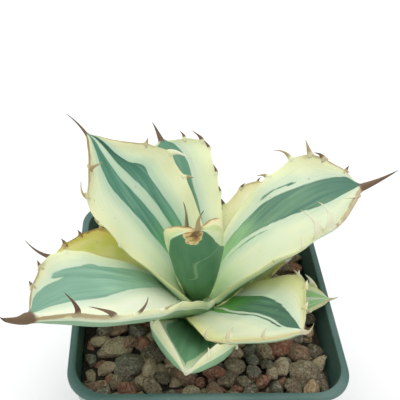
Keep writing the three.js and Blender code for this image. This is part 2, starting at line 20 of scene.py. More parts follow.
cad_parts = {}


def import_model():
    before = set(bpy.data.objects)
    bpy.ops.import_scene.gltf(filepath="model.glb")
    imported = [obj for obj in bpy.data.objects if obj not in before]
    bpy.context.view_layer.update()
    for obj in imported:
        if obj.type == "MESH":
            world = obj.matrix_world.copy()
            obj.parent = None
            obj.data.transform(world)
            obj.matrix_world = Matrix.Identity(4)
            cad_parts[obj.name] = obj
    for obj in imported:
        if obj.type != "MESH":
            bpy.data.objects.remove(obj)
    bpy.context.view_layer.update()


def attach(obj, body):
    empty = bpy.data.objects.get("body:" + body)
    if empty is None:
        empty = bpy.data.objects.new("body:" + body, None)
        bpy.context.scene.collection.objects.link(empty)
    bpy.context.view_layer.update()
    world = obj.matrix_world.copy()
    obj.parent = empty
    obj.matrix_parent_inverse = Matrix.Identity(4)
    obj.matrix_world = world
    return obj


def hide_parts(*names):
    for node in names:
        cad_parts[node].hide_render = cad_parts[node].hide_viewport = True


LOG = logging.getLogger("agave")

MM = 0.001
BODY = "root"
BLADE_MAP = "Blade"  # UV map of a leaf: share of the half width, left positive, and place along the leaf
UNDER = "under"  # attribute: 0 on the upper face, 1 on the lower one
HORN = "horn"  # attribute: 0 on green skin, 1 at the point of a tooth or spine
TONE = "tone"  # attribute: how dark that tooth or spine is
SHADE = "shade"  # attribute: which colour of stone a pebble is
PAINTED_WALL_LIGHT = "outside"  # attribute: how much painted light from the bright surroundings the pot's outer wall carries

# the colours of a leaf's skin: fields of LeafFinish, and inputs of the node group under the same names
SKIN_COLOURS = (
    "leaf_green", "deep_green", "fresh_green", "under_green", "pale", "cream", "margin", "base_cream",
    "brown", "dry_colour", "dry_heart",
)

Colour = tuple[float, float, float, float]
Line = tuple[tuple[float, float], ...]  # the points of a curve, as pairs of numbers


# ---------- small helpers ----------


def paint(code: str) -> Colour:
    """A colour written as in a paint chart, #rrggbb, in the linear light that shaders use.

    Args:
        code: The colour as #rrggbb.

    Returns:
        Red, green and blue in linear light, and full alpha.
    """
    channels = [int(code[k : k + 2], 16) / 255 for k in (1, 3, 5)]
    linear = [c / 12.92 if c <= 0.04045 else ((c + 0.055) / 1.055) ** 2.4 for c in channels]
    return (linear[0], linear[1], linear[2], 1.0)


def smooth(low: float, high: float, value: np.ndarray) -> np.ndarray:
    """A smooth step from 0 at low to 1 at high."""
    share = np.clip((value - low) / (high - low), 0, 1)
    return share * share * (3 - 2 * share)


def deselect_all() -> None:
    """Leaves object mode with nothing selected."""
    if bpy.context.object is not None and bpy.context.object.mode != "OBJECT":
        bpy.ops.object.mode_set(mode="OBJECT")
    bpy.ops.object.select_all(action="DESELECT")


def choose(*pieces: bpy.types.Object) -> None:
    """Selects the pieces alone and makes the first one active."""
    deselect_all()
    for piece in pieces:
        piece.select_set(True)
    bpy.context.view_layer.objects.active = pieces[0]


def read_points(piece: bpy.types.Object) -> np.ndarray:
    """The vertices of a piece, one row each, in metres.

    Args:
        piece: The piece to read.

    Returns:
        An array of three columns.
    """
    points = np.empty(len(piece.data.vertices) * 3)
    piece.data.vertices.foreach_get("co", points)
    return points.reshape(-1, 3)


def write_points(piece: bpy.types.Object, points: np.ndarray) -> None:
    """Puts the vertices of a piece at new places, in metres."""
    piece.data.vertices.foreach_set("co", points.astype(np.float32).ravel())
    piece.data.update()


def write_attribute(piece: bpy.types.Object, name: str, values: np.ndarray) -> None:
    """Stores one number for each vertex under a name that a material reads.

    Args:
        piece: The piece.
        name: Name of the attribute.
        values: The numbers.
    """
    known = piece.data.attributes.get(name)
    layer = known or piece.data.attributes.new(name, "FLOAT", "POINT")
    layer.data.foreach_set("value", values.astype(np.float32))


def write_blade_map(piece: bpy.types.Object, across: np.ndarray, along: np.ndarray) -> None:
    """Stores the place on a leaf of each vertex as the piece's UV map.

    Args:
        piece: The piece.
        across: Share of the half width of each vertex.
        along: Place along the leaf of each vertex.
    """
    layer = piece.data.uv_layers.get(BLADE_MAP) or piece.data.uv_layers.new(name=BLADE_MAP)
    corners = np.empty(len(piece.data.loops), dtype=np.int32)
    piece.data.loops.foreach_get("vertex_index", corners)
    layer.data.foreach_set("uv", np.stack([across, along], -1)[corners].astype(np.float32).ravel())


def close_up(piece: bpy.types.Object, smooth_angle: float = 180.0) -> None:
    """Merges doubled vertices, turns the faces outwards and shades them smooth up to an angle in degrees.

    Args:
        piece: The piece.
        smooth_angle: The angle.
    """
    choose(piece)
    bpy.ops.object.mode_set(mode="EDIT")
    bpy.ops.mesh.select_all(action="SELECT")
    bpy.ops.mesh.remove_doubles(threshold=2e-6)
    bpy.ops.mesh.normals_make_consistent(inside=False)
    bpy.ops.object.mode_set(mode="OBJECT")
    if smooth_angle < 180:
        bpy.ops.object.shade_smooth_by_angle(angle=math.radians(smooth_angle))
    else:
        bpy.ops.object.shade_smooth()


class RolledGrid(NamedTuple):
    """A flat grid that is to be rolled into a closed tube, with each vertex's share round and along it."""

    piece: bpy.types.Object
    around: np.ndarray
    along: np.ndarray


def rolled_grid(name: str, around: int, along: int) -> RolledGrid:
    """A new rolled grid.

    Args:
        name: Name of the new piece.
        around: Faces round the tube.
        along: Faces along it.

    Returns:
        The grid, not yet rolled.
    """
    deselect_all()
    bpy.ops.mesh.primitive_grid_add(x_subdivisions=around, y_subdivisions=along, size=1.0)
    piece = bpy.context.active_object
    piece.name = piece.data.name = name
    spots = read_points(piece) + 0.5
    return RolledGrid(piece, np.round(spots[:, 0], 6), np.round(spots[:, 1], 6))


def own_copy(piece: bpy.types.Object, name: str) -> bpy.types.Object:
    """A copy of a piece with a mesh of its own.

    Args:
        piece: The piece to copy.
        name: Name of the copy.

    Returns:
        The copy.
    """
    copy = piece.copy()
    copy.data = piece.data.copy()
    copy.name = copy.data.name = name
    bpy.context.scene.collection.objects.link(copy)
    return copy


def join(pieces: list[bpy.types.Object]) -> bpy.types.Object:
    """Joins the pieces into the first one.

    Args:
        pieces: The pieces.

    Returns:
        The first piece, which now holds them all.
    """
    choose(*pieces)
    bpy.ops.object.join()
    return bpy.context.active_object


def ripple(x: np.ndarray, y: np.ndarray, seed: float) -> np.ndarray:
    """A smooth uneven swell from about -1 to 1, for surfaces that grew rather than being made.

    Args:
        x: First coordinate of each point.
        y: Its second coordinate.
        seed: What sets one swell apart from another.

    Returns:
        The swell at each point.
    """
    return (
        np.sin(1.7 * x + 2.3 * y + 1.3 * seed)
        + 0.7 * np.sin(3.1 * x - 1.9 * y + 2.1 * seed)
        + 0.5 * np.sin(-2.2 * x + 4.7 * y + 0.7 * seed)
    ) / 2.2


# ---------- shader graphs ----------


class Graph:
    """Adds shader nodes to a tree and links them in few words."""

    def __init__(self, tree: bpy.types.NodeTree) -> None:
        """Works in the given tree."""
        self.tree = tree

    def node(self, kind: str, **settings: object) -> bpy.types.Node:
        """A new node of a kind, with its own settings.

        Args:
            kind: Type of the node.
            settings: Its settings.

        Returns:
            The node.
        """
        made = self.tree.nodes.new(kind)
        for key, value in settings.items():
            setattr(made, key, value)
        return made

    def feed(self, socket: bpy.types.NodeSocket, value: object) -> None:
        """Links a socket to another one, or sets its own value.

        Args:
            socket: The input socket.
            value: An output socket, or a value.
        """
        if isinstance(value, bpy.types.NodeSocket):
            self.tree.links.new(value, socket)
        else:
            socket.default_value = value

    def math(self, operation: str, *values: object, clamp: bool = False) -> bpy.types.NodeSocket:
        """The result of a math node.

        Args:
            operation: What is worked out.
            values: The numbers that go in.
            clamp: Whether the result is kept from 0 to 1.

        Returns:
            The result.
        """
        made = self.node("ShaderNodeMath", operation=operation, use_clamp=clamp)
        for socket, value in zip(made.inputs, values):
            self.feed(socket, value)
        return made.outputs[0]

    def times(self, *values: object) -> bpy.types.NodeSocket:
        """The product of two numbers."""
        return self.math("MULTIPLY", *values)

    def plus(self, *values: object) -> bpy.types.NodeSocket:
        """The sum of two numbers."""
        return self.math("ADD", *values)

    def minus(self, *values: object) -> bpy.types.NodeSocket:
        """The first number less the second."""
        return self.math("SUBTRACT", *values)

    def scaled(self, value: object, scale: float, shift: float) -> bpy.types.NodeSocket:
        """A number times a scale, moved by a shift."""
        return self.math("MULTIPLY_ADD", value, scale, shift)

    def step(self, value: object, low: object, high: object) -> bpy.types.NodeSocket:
        """A smooth step from 0 at low to 1 at high.

        Args:
            value: The number.
            low: Where the step begins.
            high: Where it ends.

        Returns:
            The step's height.
        """
        made = self.node("ShaderNodeMapRange", interpolation_type="SMOOTHSTEP")
        for key, given in (("Value", value), ("From Min", low), ("From Max", high)):
            self.feed(made.inputs[key], given)
        return made.outputs["Result"]

    def fall(self, value: object, low: object, high: object) -> bpy.types.NodeSocket:
        """A smooth step from 1 at low to 0 at high."""
        return self.minus(1.0, self.step(value, low, high))

    def blend(self, share: object, under: object, over: object) -> bpy.types.NodeSocket:
        """Two colours mixed by a share.

        Args:
            share: How much of the second colour shows.
            under: The first colour.
            over: The second colour.

        Returns:
            The mixed colour.
        """
        made = self.node("ShaderNodeMix", data_type="RGBA")
        for key, given in ((0, share), (6, under), (7, over)):
            self.feed(made.inputs[key], given)
        return made.outputs[2]

    def vector(self, x: object, y: object, z: object = 0.0) -> bpy.types.NodeSocket:
        """Three numbers as a vector.

        Args:
            x: The first number.
            y: The second number.
            z: The third number.

        Returns:
            The vector.
        """
        made = self.node("ShaderNodeCombineXYZ")
        for socket, value in zip(made.inputs, (x, y, z)):
            self.feed(socket, value)
        return made.outputs[0]

    def noise(
        self, place: object, scale: float, detail: float = 2.0, rough: float = 0.5
    ) -> bpy.types.NodeSocket:
        """A noise from 0 to 1 at a place.

        Args:
            place: The place.
            scale: How fine the noise is.
            detail: How many finer layers it has.
            rough: How strong they are.

        Returns:
            The noise.
        """
        made = self.node("ShaderNodeTexNoise")
        for key, given in (("Vector", place), ("Scale", scale), ("Detail", detail), ("Roughness", rough)):
            self.feed(made.inputs[key], given)
        return made.outputs["Fac"]

    def attribute(self, name: str) -> bpy.types.NodeSocket:
        """A number that is stored on the piece."""
        return self.node("ShaderNodeAttribute", attribute_name=name).outputs["Fac"]

    def object_place(self) -> bpy.types.NodeSocket:
        """The place on the piece, in metres."""
        return self.node("ShaderNodeTexCoord").outputs["Object"]

    def curve(self, value: object, line: Line) -> bpy.types.NodeSocket:
        """A height that follows a line of (place, height) points; heights lie from -1.5 to 1.5.

        Args:
            value: The place, from 0 to 1.
            line: The line's points.

        Returns:
            The height at the place.
        """
        made = self.node("ShaderNodeFloatCurve")
        self.feed(made.inputs["Value"], value)
        points = made.mapping.curves[0].points
        while len(points) < len(line):
            points.new(0.5, 0.5)
        for point, (place, height) in zip(points, line):
            point.location = (place, height / 3 + 0.5)
        made.mapping.update()
        return self.scaled(made.outputs[0], 3.0, -1.5)

    def group(self, tree: bpy.types.NodeTree, **values: object) -> bpy.types.Node:
        """A node group with its inputs fed; an underscore in a name stands for a space.

        Args:
            tree: The group's tree.
            values: What its inputs are fed.

        Returns:
            The group's node.
        """
        made = self.node("ShaderNodeGroup", node_tree=tree)
        for key, value in values.items():
            self.feed(made.inputs[key.replace("_", " ")], value)
        return made


def new_group(
    name: str, numbers: str, colours: str, outputs: str
) -> tuple[bpy.types.NodeTree, Graph, dict, dict]:
    """An empty node group with named sockets.

    Args:
        name: Name of the group.
        numbers: Names of its number inputs, split by commas.
        colours: Names of its colour inputs.
        outputs: Names of its outputs; one whose name ends in Color is a colour.

    Returns:
        The tree, its graph, its input sockets by name and the sockets that its outputs are fed through.
    """
    tree = bpy.data.node_groups.new(name, "ShaderNodeTree")
    for text, kind in ((numbers, "NodeSocketFloat"), (colours, "NodeSocketColor")):
        for word in filter(None, text.split(", ")):
            tree.interface.new_socket(name=word, in_out="INPUT", socket_type=kind)
    for word in outputs.split(", "):
        kind = "NodeSocketColor" if word.endswith("Color") else "NodeSocketFloat"
        tree.interface.new_socket(name=word, in_out="OUTPUT", socket_type=kind)
    graph = Graph(tree)
    source = graph.node("NodeGroupInput")
    sink = graph.node("NodeGroupOutput")
    inputs = {socket.name: socket for socket in source.outputs if socket.name}
    results = {socket.name: socket for socket in sink.inputs if socket.name}
    return tree, graph, inputs, results


def new_material(name: str, **constants: object) -> tuple[bpy.types.Material, Graph, bpy.types.Node]:
    """A material with one Principled shader whose constants are set.

    Args:
        name: Name of the material.
        constants: The shader's own values; an underscore in a name stands for a space.

    Returns:
        The material, its graph and its shader.
    """
    material = bpy.data.materials.new(name)
    material.use_nodes = True
    material.node_tree.nodes.clear()
    graph = Graph(material.node_tree)
    shader = graph.node("ShaderNodeBsdfPrincipled")
    output = graph.node("ShaderNodeOutputMaterial")
    graph.feed(output.inputs["Surface"], shader.outputs[0])
    for key, value in constants.items():
        shader.inputs[key.replace("_", " ")].default_value = value
    return material, graph, shader


def bump(graph: Graph, shader: bpy.types.Node, height: object, depth: float) -> None:
    """Raises a shader's surface by a height from 0 to 1 that stands for depth metres.

    Args:
        graph: The material's graph.
        shader: Its shader.
        height: The height.
        depth: The depth in metres.
    """
    made = graph.node("ShaderNodeBump")
    made.inputs["Strength"].default_value = 1.0
    made.inputs["Distance"].default_value = depth
    graph.feed(made.inputs["Height"], height)
    graph.feed(shader.inputs["Normal"], made.outputs[0])


@dataclass(frozen=True)
class Grain:
    """The uneven patterns that run along a leaf: fine fibres, broad streaks and large soft clouds."""

    fibre: bpy.types.NodeSocket
    broad: bpy.types.NodeSocket
    cloud: bpy.types.NodeSocket


class Groups:
    """The shader node groups that several finishes share, built once."""

    # the root's own deep green mixed with painted shade, for the lower face near the root
    ROOT_GREEN_AND_SHADE = "#456f2c"
    # painted shade: the near-black green that the right side of a leaf's bands is darkened towards
    PAINTED_SHADE_GREEN = "#12392c"
    HUSK_RIM = "#e6d6a4"
    HORN_PALE, HORN_TAN, HORN_BROWN = "#e2e2c6", "#a8966a", "#5d4133"
    POINT_PALE, POINT_DARK = "#cfc3a4", "#3b2f2a"
    STONES = (
        "#706f5c", "#948c71", "#987f66", "#ada081", "#7f7761", "#b69c76", "#a06f58", "#767c6b", "#c0b392",
    )
    STONE_DUST = "#d6ccb2"
    # painted shade in the pores of the lava
    STONE_PIT_SHADE = "#241f1a"

    def __init__(self) -> None:
        """Builds every group."""
        self.bands = self._bands()
        self.skin = self._skin()
        self.stone = self._stone()

    @staticmethod
    def _bands() -> bpy.types.NodeTree:
        """Which part of a leaf is green: up to three bands with feathered edges.

        Returns:
            The group's tree.
        """
        edges = [f"{side} {k}" for k in (1, 2, 3) for side in ("Left", "Right")]
        numbers = "Across, Along, Seed, Under, Under Width, " + ", ".join(edges)
        tree, g, given, out = new_group("Variegation", numbers, "", "Green, Outside, Inside")
        slow = g.noise(g.vector(g.times(given["Across"], 3.0), given["Along"], given["Seed"]), 3.0)
        fine = g.noise(g.vector(g.times(given["Across"], 26.0), given["Along"], given["Seed"]), 2.2, 3.0)
        sway = g.plus(g.scaled(slow, 0.05, -0.025), g.scaled(fine, 0.06, -0.03))
        across = g.plus(given["Across"], sway)
        depth: object = -9.0
        for k in (1, 2, 3):
            left = g.minus(given[f"Left {k}"], across)
            right = g.minus(across, given[f"Right {k}"])
            depth = g.math("MAXIMUM", depth, g.math("MINIMUM", left, right))
        lower = g.math("MAXIMUM", g.minus(given["Under Width"], g.math("ABSOLUTE", across)), depth)
        depth = g.plus(depth, g.times(given["Under"], g.minus(lower, depth)))
        g.feed(out["Green"], g.step(depth, -0.012, 0.014))
        g.feed(out["Outside"], g.math("MULTIPLY", depth, -1.0, clamp=True))
        g.feed(out["Inside"], g.math("MULTIPLY", depth, 1.0, clamp=True))
        return tree

    @classmethod
    def _skin(cls) -> bpy.types.NodeTree:
        """Colour, roughness and relief of a leaf with its teeth and spine.

        Returns:
            The group's tree.
        """
        numbers = (
            "Across, Along, Green, Outside, Inside, Under, Horn, Tone, Browning, Dry, Print, Seed, "
            "Tip Shade, Right Shade"
        )
        colours = ", ".join(name.replace("_", " ").title() for name in SKIN_COLOURS)
        tree, g, given, out = new_group("Leaf skin", numbers, colours, "Skin Color, Roughness, Relief")
        across, along, seed = given["Across"], given["Along"], given["Seed"]
        grain = Grain(
            fibre=g.noise(g.vector(g.times(across, 30.0), along, seed), 2.0, 3.0, 0.6),
            broad=g.noise(g.vector(g.times(across, 7.0), along, seed), 1.6, 2.0),
            cloud=g.noise(g.vector(g.times(across, 2.0), g.times(along, 3.0), seed), 1.7, 2.0),
        )
        skin = g.blend(given["Green"], cls._cream(g, given, grain), cls._green(g, given, grain))
        skin, dried, scars = cls._weather(g, given, skin)
        g.feed(out["Skin Color"], cls._horn(g, given, grain, skin))
        rough = g.plus(g.scaled(grain.fibre, 0.12, 0.4), g.times(given["Under"], 0.08))
        g.feed(out["Roughness"], g.plus(rough, g.times(dried, 0.25)))
        relief = g.plus(g.times(grain.fibre, 0.35), g.times(grain.broad, 0.5))
        g.feed(out["Relief"], g.minus(relief, g.times(scars, 0.3)))
        return tree

    @classmethod
    def _green(cls, g: Graph, given: dict, grain: Grain) -> bpy.types.NodeSocket:
        """Colour of the green bands: streaked, darker at their rims and tips, fresh at the root, with
        painted shade on their right side towards the tip and partly painted shade on the lower face at the
        root.

        Args:
            g: The group's graph.
            given: Its inputs.
            grain: The patterns along the leaf.

        Returns:
            The colour.
        """
        along, deep = given["Along"], given["Deep Green"]
        streaks = g.step(g.plus(g.times(grain.broad, 0.65), g.times(grain.fibre, 0.35)), 0.36, 0.66)
        green = g.blend(streaks, deep, given["Leaf Green"])
        green = g.blend(g.times(g.fall(given["Inside"], 0.0, 0.07), 0.6), green, deep)
        green = g.blend(g.times(g.step(along, 0.45, 1.0), given["Tip Shade"]), green, deep)
        # painted shade: the right side of the bands darkens from past the middle towards the tip, where the
        # leaf faces away from the light
        right = g.times(g.fall(given["Across"], -0.3, -0.02), g.step(along, 0.58, 0.86))
        painted_shade = g.blend(0.6, deep, paint(cls.PAINTED_SHADE_GREEN))
        green = g.blend(g.times(right, given["Right Shade"]), green, painted_shade)
        green = g.blend(g.times(g.fall(along, 0.06, 0.5), 0.9), green, given["Fresh Green"])
        # the lower face turns deep green towards the root: partly its own colour, partly painted shade under
        # the leaves
        rooted = g.times(g.fall(along, 0.08, 0.4), 0.75)
        below = g.blend(rooted, given["Under Green"], paint(cls.ROOT_GREEN_AND_SHADE))
        green = g.blend(g.times(given["Under"], 0.9), green, below)
        mottle = g.plus(g.times(grain.cloud, 0.6), g.times(grain.broad, 0.4))
        green = g.blend(g.times(g.step(mottle, 0.4, 0.62), 0.4), green, deep)
        return g.blend(g.times(given["Print"], 0.22), green, given["Pale"])

    @staticmethod
    def _cream(g: Graph, given: dict, grain: Grain) -> bpy.types.NodeSocket:
        """Colour of the cream part: greenish at the root and by the bands, yellower at the margins.

        Args:
            g: The group's graph.
            given: Its inputs.
            grain: The patterns along the leaf.

        Returns:
            The colour.
        """
        along = given["Along"]
        edge = g.math("ABSOLUTE", given["Across"])
        near = g.fall(given["Outside"], 0.0, 0.3)
        cream = g.blend(g.step(grain.cloud, 0.3, 0.7), given["Base Cream"], given["Cream"])
        cream = g.blend(g.times(g.fall(along, 0.06, 0.5), 0.8), cream, given["Base Cream"])
        cream = g.blend(g.times(g.fall(along, 0.0, 0.26), 0.5), cream, given["Fresh Green"])
        cream = g.blend(g.times(g.step(grain.fibre, 0.5, 0.72), 0.22), cream, given["Pale"])
        cream = g.blend(g.times(g.step(edge, 0.55, 1.0), 0.8), cream, given["Margin"])
        withered = g.times(g.times(g.step(edge, 0.35, 1.0), given["Browning"]), 0.32)
        cream = g.blend(withered, cream, given["Dry Colour"])
        cream = g.blend(g.times(near, 0.75), cream, given["Pale"])
        lines = g.times(g.times(near, g.step(grain.fibre, 0.52, 0.72)), 0.35)
        return g.blend(lines, cream, given["Leaf Green"])

    @classmethod
    def _weather(cls, g: Graph, given: dict, skin: bpy.types.NodeSocket) -> tuple[bpy.types.NodeSocket, ...]:
        """Browned margins, small scars and dried patches with torn outlines, over the skin.

        Args:
            g: The group's graph.
            given: Its inputs.
            skin: The colour without them.

        Returns:
            The colour with them, how browned or dried the skin is, and the scars.
        """
        across, along, seed = given["Across"], given["Along"], given["Seed"]
        ragged = g.noise(g.vector(across, g.times(along, 26.0), seed), 1.0, 3.0)
        lip = g.plus(g.math("ABSOLUTE", across), g.scaled(ragged, 0.16, -0.09))
        browned = g.times(g.step(lip, 0.9, 0.97), given["Browning"])
        torn = g.noise(g.vector(g.times(across, 7.0), g.times(along, 34.0), seed), 1.0, 3.0)
        parched = g.plus(given["Dry"], g.scaled(torn, 0.07, -0.035))
        dry = g.step(parched, 0.0, 0.006)
        specks = g.noise(g.vector(g.times(across, 9.0), g.times(along, 26.0), seed), 1.3, 1.0)
        scars = g.times(g.step(specks, 0.76, 0.8), 0.5)
        skin = g.blend(g.math("MAXIMUM", browned, scars), skin, given["Brown"])
        husk = g.blend(g.step(torn, 0.4, 0.6), given["Dry Colour"], given["Brown"])
        husk = g.blend(g.step(parched, 0.0, 0.02), paint(cls.HUSK_RIM), husk)
        husk = g.blend(g.times(g.step(parched, 0.045, 0.085), 0.75), husk, given["Dry Heart"])
        return g.blend(dry, skin, husk), g.math("MAXIMUM", browned, dry), scars

    @classmethod
    def _horn(cls, g: Graph, given: dict, grain: Grain, skin: bpy.types.NodeSocket) -> bpy.types.NodeSocket:
        """The horn of teeth and spine over the skin, by its tone, with a darker point.

        Args:
            g: The group's graph.
            given: Its inputs.
            grain: The patterns along the leaf.
            skin: The colour without it.

        Returns:
            The colour with it.
        """
        tone = given["Tone"]
        horny = g.step(g.plus(given["Horn"], g.scaled(grain.fibre, 0.1, -0.05)), 0.02, 0.3)
        tan = g.blend(g.step(tone, 0.0, 0.45), paint(cls.HORN_PALE), paint(cls.HORN_TAN))
        horn = g.blend(g.step(tone, 0.45, 1.0), tan, paint(cls.HORN_BROWN))
        point = g.blend(g.step(tone, 0.14, 0.3), paint(cls.POINT_PALE), paint(cls.POINT_DARK))
        return g.blend(horny, skin, g.blend(g.step(given["Horn"], 0.8, 1.0), horn, point))

    @classmethod
    def _stone(cls) -> bpy.types.NodeTree:
        """Colour and relief of porous lava, by the shade of each stone, with painted shade in its pores.

        Returns:
            The group's tree.
        """
        tree, g, given, out = new_group("Lava stone", "Shade, Dust", "Tint", "Stone Color, Relief")
        place = g.object_place()
        shade = g.node("ShaderNodeValToRGB")
        ramp = shade.color_ramp
        ramp.interpolation = "CONSTANT"
        while len(ramp.elements) < len(cls.STONES):
            ramp.elements.new(0.5)
        for k, tone in enumerate(cls.STONES):
            ramp.elements[k].position = k / len(cls.STONES)
            ramp.elements[k].color = paint(tone)
        g.feed(shade.inputs["Fac"], given["Shade"])
        grain = g.noise(place, 900.0, 4.0, 0.65)
        patch = g.noise(place, 260.0, 3.0)
        pits = g.node("ShaderNodeTexVoronoi", feature="F1")
        g.feed(pits.inputs["Vector"], place)
        g.feed(pits.inputs["Scale"], 1500.0)
        hole = g.fall(pits.outputs["Distance"], 0.1, 0.42)
        tinted = g.blend(0.35, shade.outputs["Color"], given["Tint"])
        stone = g.blend(g.step(patch, 0.35, 0.7), tinted, shade.outputs["Color"])
        stone = g.blend(g.times(g.step(grain, 0.45, 0.75), given["Dust"]), stone, paint(cls.STONE_DUST))
        # painted shade: the pores are darkened towards the pit colour
        stone = g.blend(g.times(hole, 0.5), stone, paint(cls.STONE_PIT_SHADE))
        g.feed(out["Stone Color"], stone)
        g.feed(out["Relief"], g.minus(g.times(grain, 0.6), g.times(hole, 0.5)))
        return tree


# ---------- finishes ----------


@dataclass(frozen=True)
class Band:
    """One green band of a leaf: its left and right edges as (place, share of the half width) points."""

    left: Line
    right: Line


NO_BAND = Band(left=((0.0, -1.5), (1.0, -1.5)), right=((0.0, 1.5), (1.0, 1.5)))


@dataclass(frozen=True)
class LeafFinish:
    """The colours and the green bands of one leaf's skin.

    browning says how brown the margins are at each place along the leaf. dry says where the dried end
    begins, from the right edge to the left one. imprint is a pale line pressed into the skin. under_width is
    the share of the lower face that is green. tip_shade darkens the bands near the tip, and the right shade
    is painted shade on the bands' right side towards the tip, where the leaf faces away from the light.
    relief is the depth of the skin's grain in millimetres.
    """

    bands: tuple[Band, ...]
    leaf_green: str = "#86b39a"
    deep_green: str = "#4d8a72"
    fresh_green: str = "#62ab3c"
    under_green: str = "#93b184"
    pale: str = "#c3d8c0"
    cream: str = "#e9efcc"
    margin: str = "#eaedb9"
    base_cream: str = "#d8e6bf"
    brown: str = "#978053"
    dry_colour: str = "#c8ab6e"
    dry_heart: str = "#a68a5c"
    browning: Line = ((0.0, 0.0), (0.7, 0.0), (1.0, 0.9))
    dry: Line = ((0.0, 0.985), (1.0, 0.985))
    imprint: Line = ((0.0, -1.5), (1.0, -1.5))
    under_width: float = 0.86
    tip_shade: float = 0.55
    # painted shade on the right side of the bands, from 0 to 1
    right_shade: float = 0.0
    seed: float = 0.0
    gloss: float = 0.5
    relief: float = 0.25

    def material(self, name: str, groups: Groups) -> bpy.types.Material:
        """The leaf's material.

        Args:
            name: Name of the material.
            groups: The shared node groups.

        Returns:
            The new material.
        """
        made, g, shader = new_material(
            name,
            Specular_IOR_Level=self.gloss,
            Subsurface_Weight=0.12,
            Subsurface_Radius=(0.9, 1.0, 0.4),
            Subsurface_Scale=0.0012,
            Coat_Weight=0.06,
            Coat_Roughness=0.35,
        )
        place = g.node("ShaderNodeSeparateXYZ")
        g.feed(place.inputs[0], g.node("ShaderNodeUVMap", uv_map=BLADE_MAP).outputs[0])
        across, along = place.outputs[0], place.outputs[1]
        shared = {"Across": across, "Along": along, "Seed": self.seed, "Under": g.attribute(UNDER)}
        edges = {}
        for k, band in enumerate((*self.bands, NO_BAND, NO_BAND, NO_BAND)[:3], start=1):
            edges[f"Left_{k}"] = g.curve(along, band.left)
            edges[f"Right_{k}"] = g.curve(along, band.right)
        bands = g.group(groups.bands, Under_Width=self.under_width, **shared, **edges)
        printed = g.math("ABSOLUTE", g.minus(across, g.curve(along, self.imprint)))
        skin = g.group(
            groups.skin,
            Horn=g.attribute(HORN),
            Tone=g.attribute(TONE),
            Dry=g.minus(along, g.curve(g.scaled(across, 0.5, 0.5), self.dry)),
            Browning=g.curve(along, self.browning),
            Print=g.fall(printed, 0.0, 0.06),
            Tip_Shade=self.tip_shade,
            Right_Shade=self.right_shade,
            **shared,
            **{key: bands.outputs[key] for key in ("Green", "Outside", "Inside")},
            **{key.title(): paint(getattr(self, key)) for key in SKIN_COLOURS},
        )
        g.feed(shader.inputs["Base Color"], skin.outputs["Skin Color"])
        g.feed(shader.inputs["Roughness"], skin.outputs["Roughness"])
        bump(g, shader, skin.outputs["Relief"], self.relief * MM)
        return made


@dataclass(frozen=True)
class StoneFinish:
    """Lava grit, as loose stones or as the bed under them, which is darkened as painted shade between the
    stones.
    """

    tint: str = "#6b3f33"
    # painted shadow: the colour that dark pulls the stones towards
    painted_shadow: str = "#15120f"
    dust: float = 0.55
    # how far the colour is darkened as painted shade; the bed uses it
    dark: float = 0.0
    relief: float = 0.6

    def material(self, name: str, groups: Groups) -> bpy.types.Material:
        """The stones' material.

        Args:
            name: Name of the material.
            groups: The shared node groups.

        Returns:
            The new material.
        """
        made, g, shader = new_material(name, Specular_IOR_Level=0.25)
        stone = g.group(groups.stone, Shade=g.attribute(SHADE), Dust=self.dust, Tint=paint(self.tint))
        # painted shade: the colour darkened towards the shadow colour by dark
        painted_shade = g.blend(self.dark, stone.outputs["Stone Color"], paint(self.painted_shadow))
        g.feed(shader.inputs["Base Color"], painted_shade)
        g.feed(shader.inputs["Roughness"], g.scaled(stone.outputs["Relief"], 0.1, 0.86))
        bump(g, shader, stone.outputs["Relief"], self.relief * MM)
        return made


@dataclass(frozen=True)
class PlasticFinish:
    """Satin moulded plastic, a little dusty and scuffed."""

    colour: str = "#41635c"
    worn: str = "#7c958c"
    # the pale colour of the painted light on the outer wall
    wall: str = "#9db8a8"
    relief: float = 0.06

    def material(self, name: str) -> bpy.types.Material:
        """The pot's material; its outer walls carry painted light from the bright surroundings, strongest
        under the rim.

        Args:
            name: Name of the material.

        Returns:
            The new material.
        """
        made, g, shader = new_material(name, Specular_IOR_Level=0.45)
        place = g.object_place()
        cloud = g.noise(place, 55.0, 3.0)
        grain = g.noise(place, 1400.0, 2.0)
        scuffs = g.noise(place, 420.0, 5.0, 0.7)
        base = g.blend(g.times(g.step(cloud, 0.4, 0.75), 0.25), paint(self.colour), paint(self.worn))
        base = g.blend(g.times(g.step(scuffs, 0.6, 0.72), 0.35), base, paint(self.worn))
        # painted light: the outer wall is paled towards the wall colour, as light from the bright
        # surroundings
        painted_light = g.math("MULTIPLY", g.attribute(PAINTED_WALL_LIGHT), g.scaled(scuffs, 0.5, 0.7), clamp=True)
        g.feed(shader.inputs["Base Color"], g.blend(painted_light, base, paint(self.wall)))
        g.feed(shader.inputs["Roughness"], g.scaled(cloud, 0.15, 0.38))
        bump(g, shader, g.plus(grain, g.times(scuffs, 0.5)), self.relief * MM)
        return made


@dataclass(frozen=True)
class StemFinish:
    """Pale leaf-base tissue round the short stem."""

    colour: str = "#b9cf92"
    scar: str = "#93a366"
    relief: float = 0.3

    def material(self, name: str) -> bpy.types.Material:
        """The stem's material.

        Args:
            name: Name of the material.

        Returns:
            The new material.
        """
        made, g, shader = new_material(name, Specular_IOR_Level=0.4)
        mottled = g.noise(g.object_place(), 420.0, 3.0)
        colour = g.blend(g.step(mottled, 0.4, 0.7), paint(self.colour), paint(self.scar))
        g.feed(shader.inputs["Base Color"], colour)
        g.feed(shader.inputs["Roughness"], g.scaled(mottled, 0.2, 0.5))
        bump(g, shader, mottled, self.relief * MM)
        return made


# ---------- leaves ----------


class Tone(Enum):
    """How dark the horn of a tooth or a spine is."""

    PALE = 0.0
    STRAW = 0.2
    HONEY = 0.26
    TAN = 0.4
    BROWN = 0.84
    DARK = 1.0


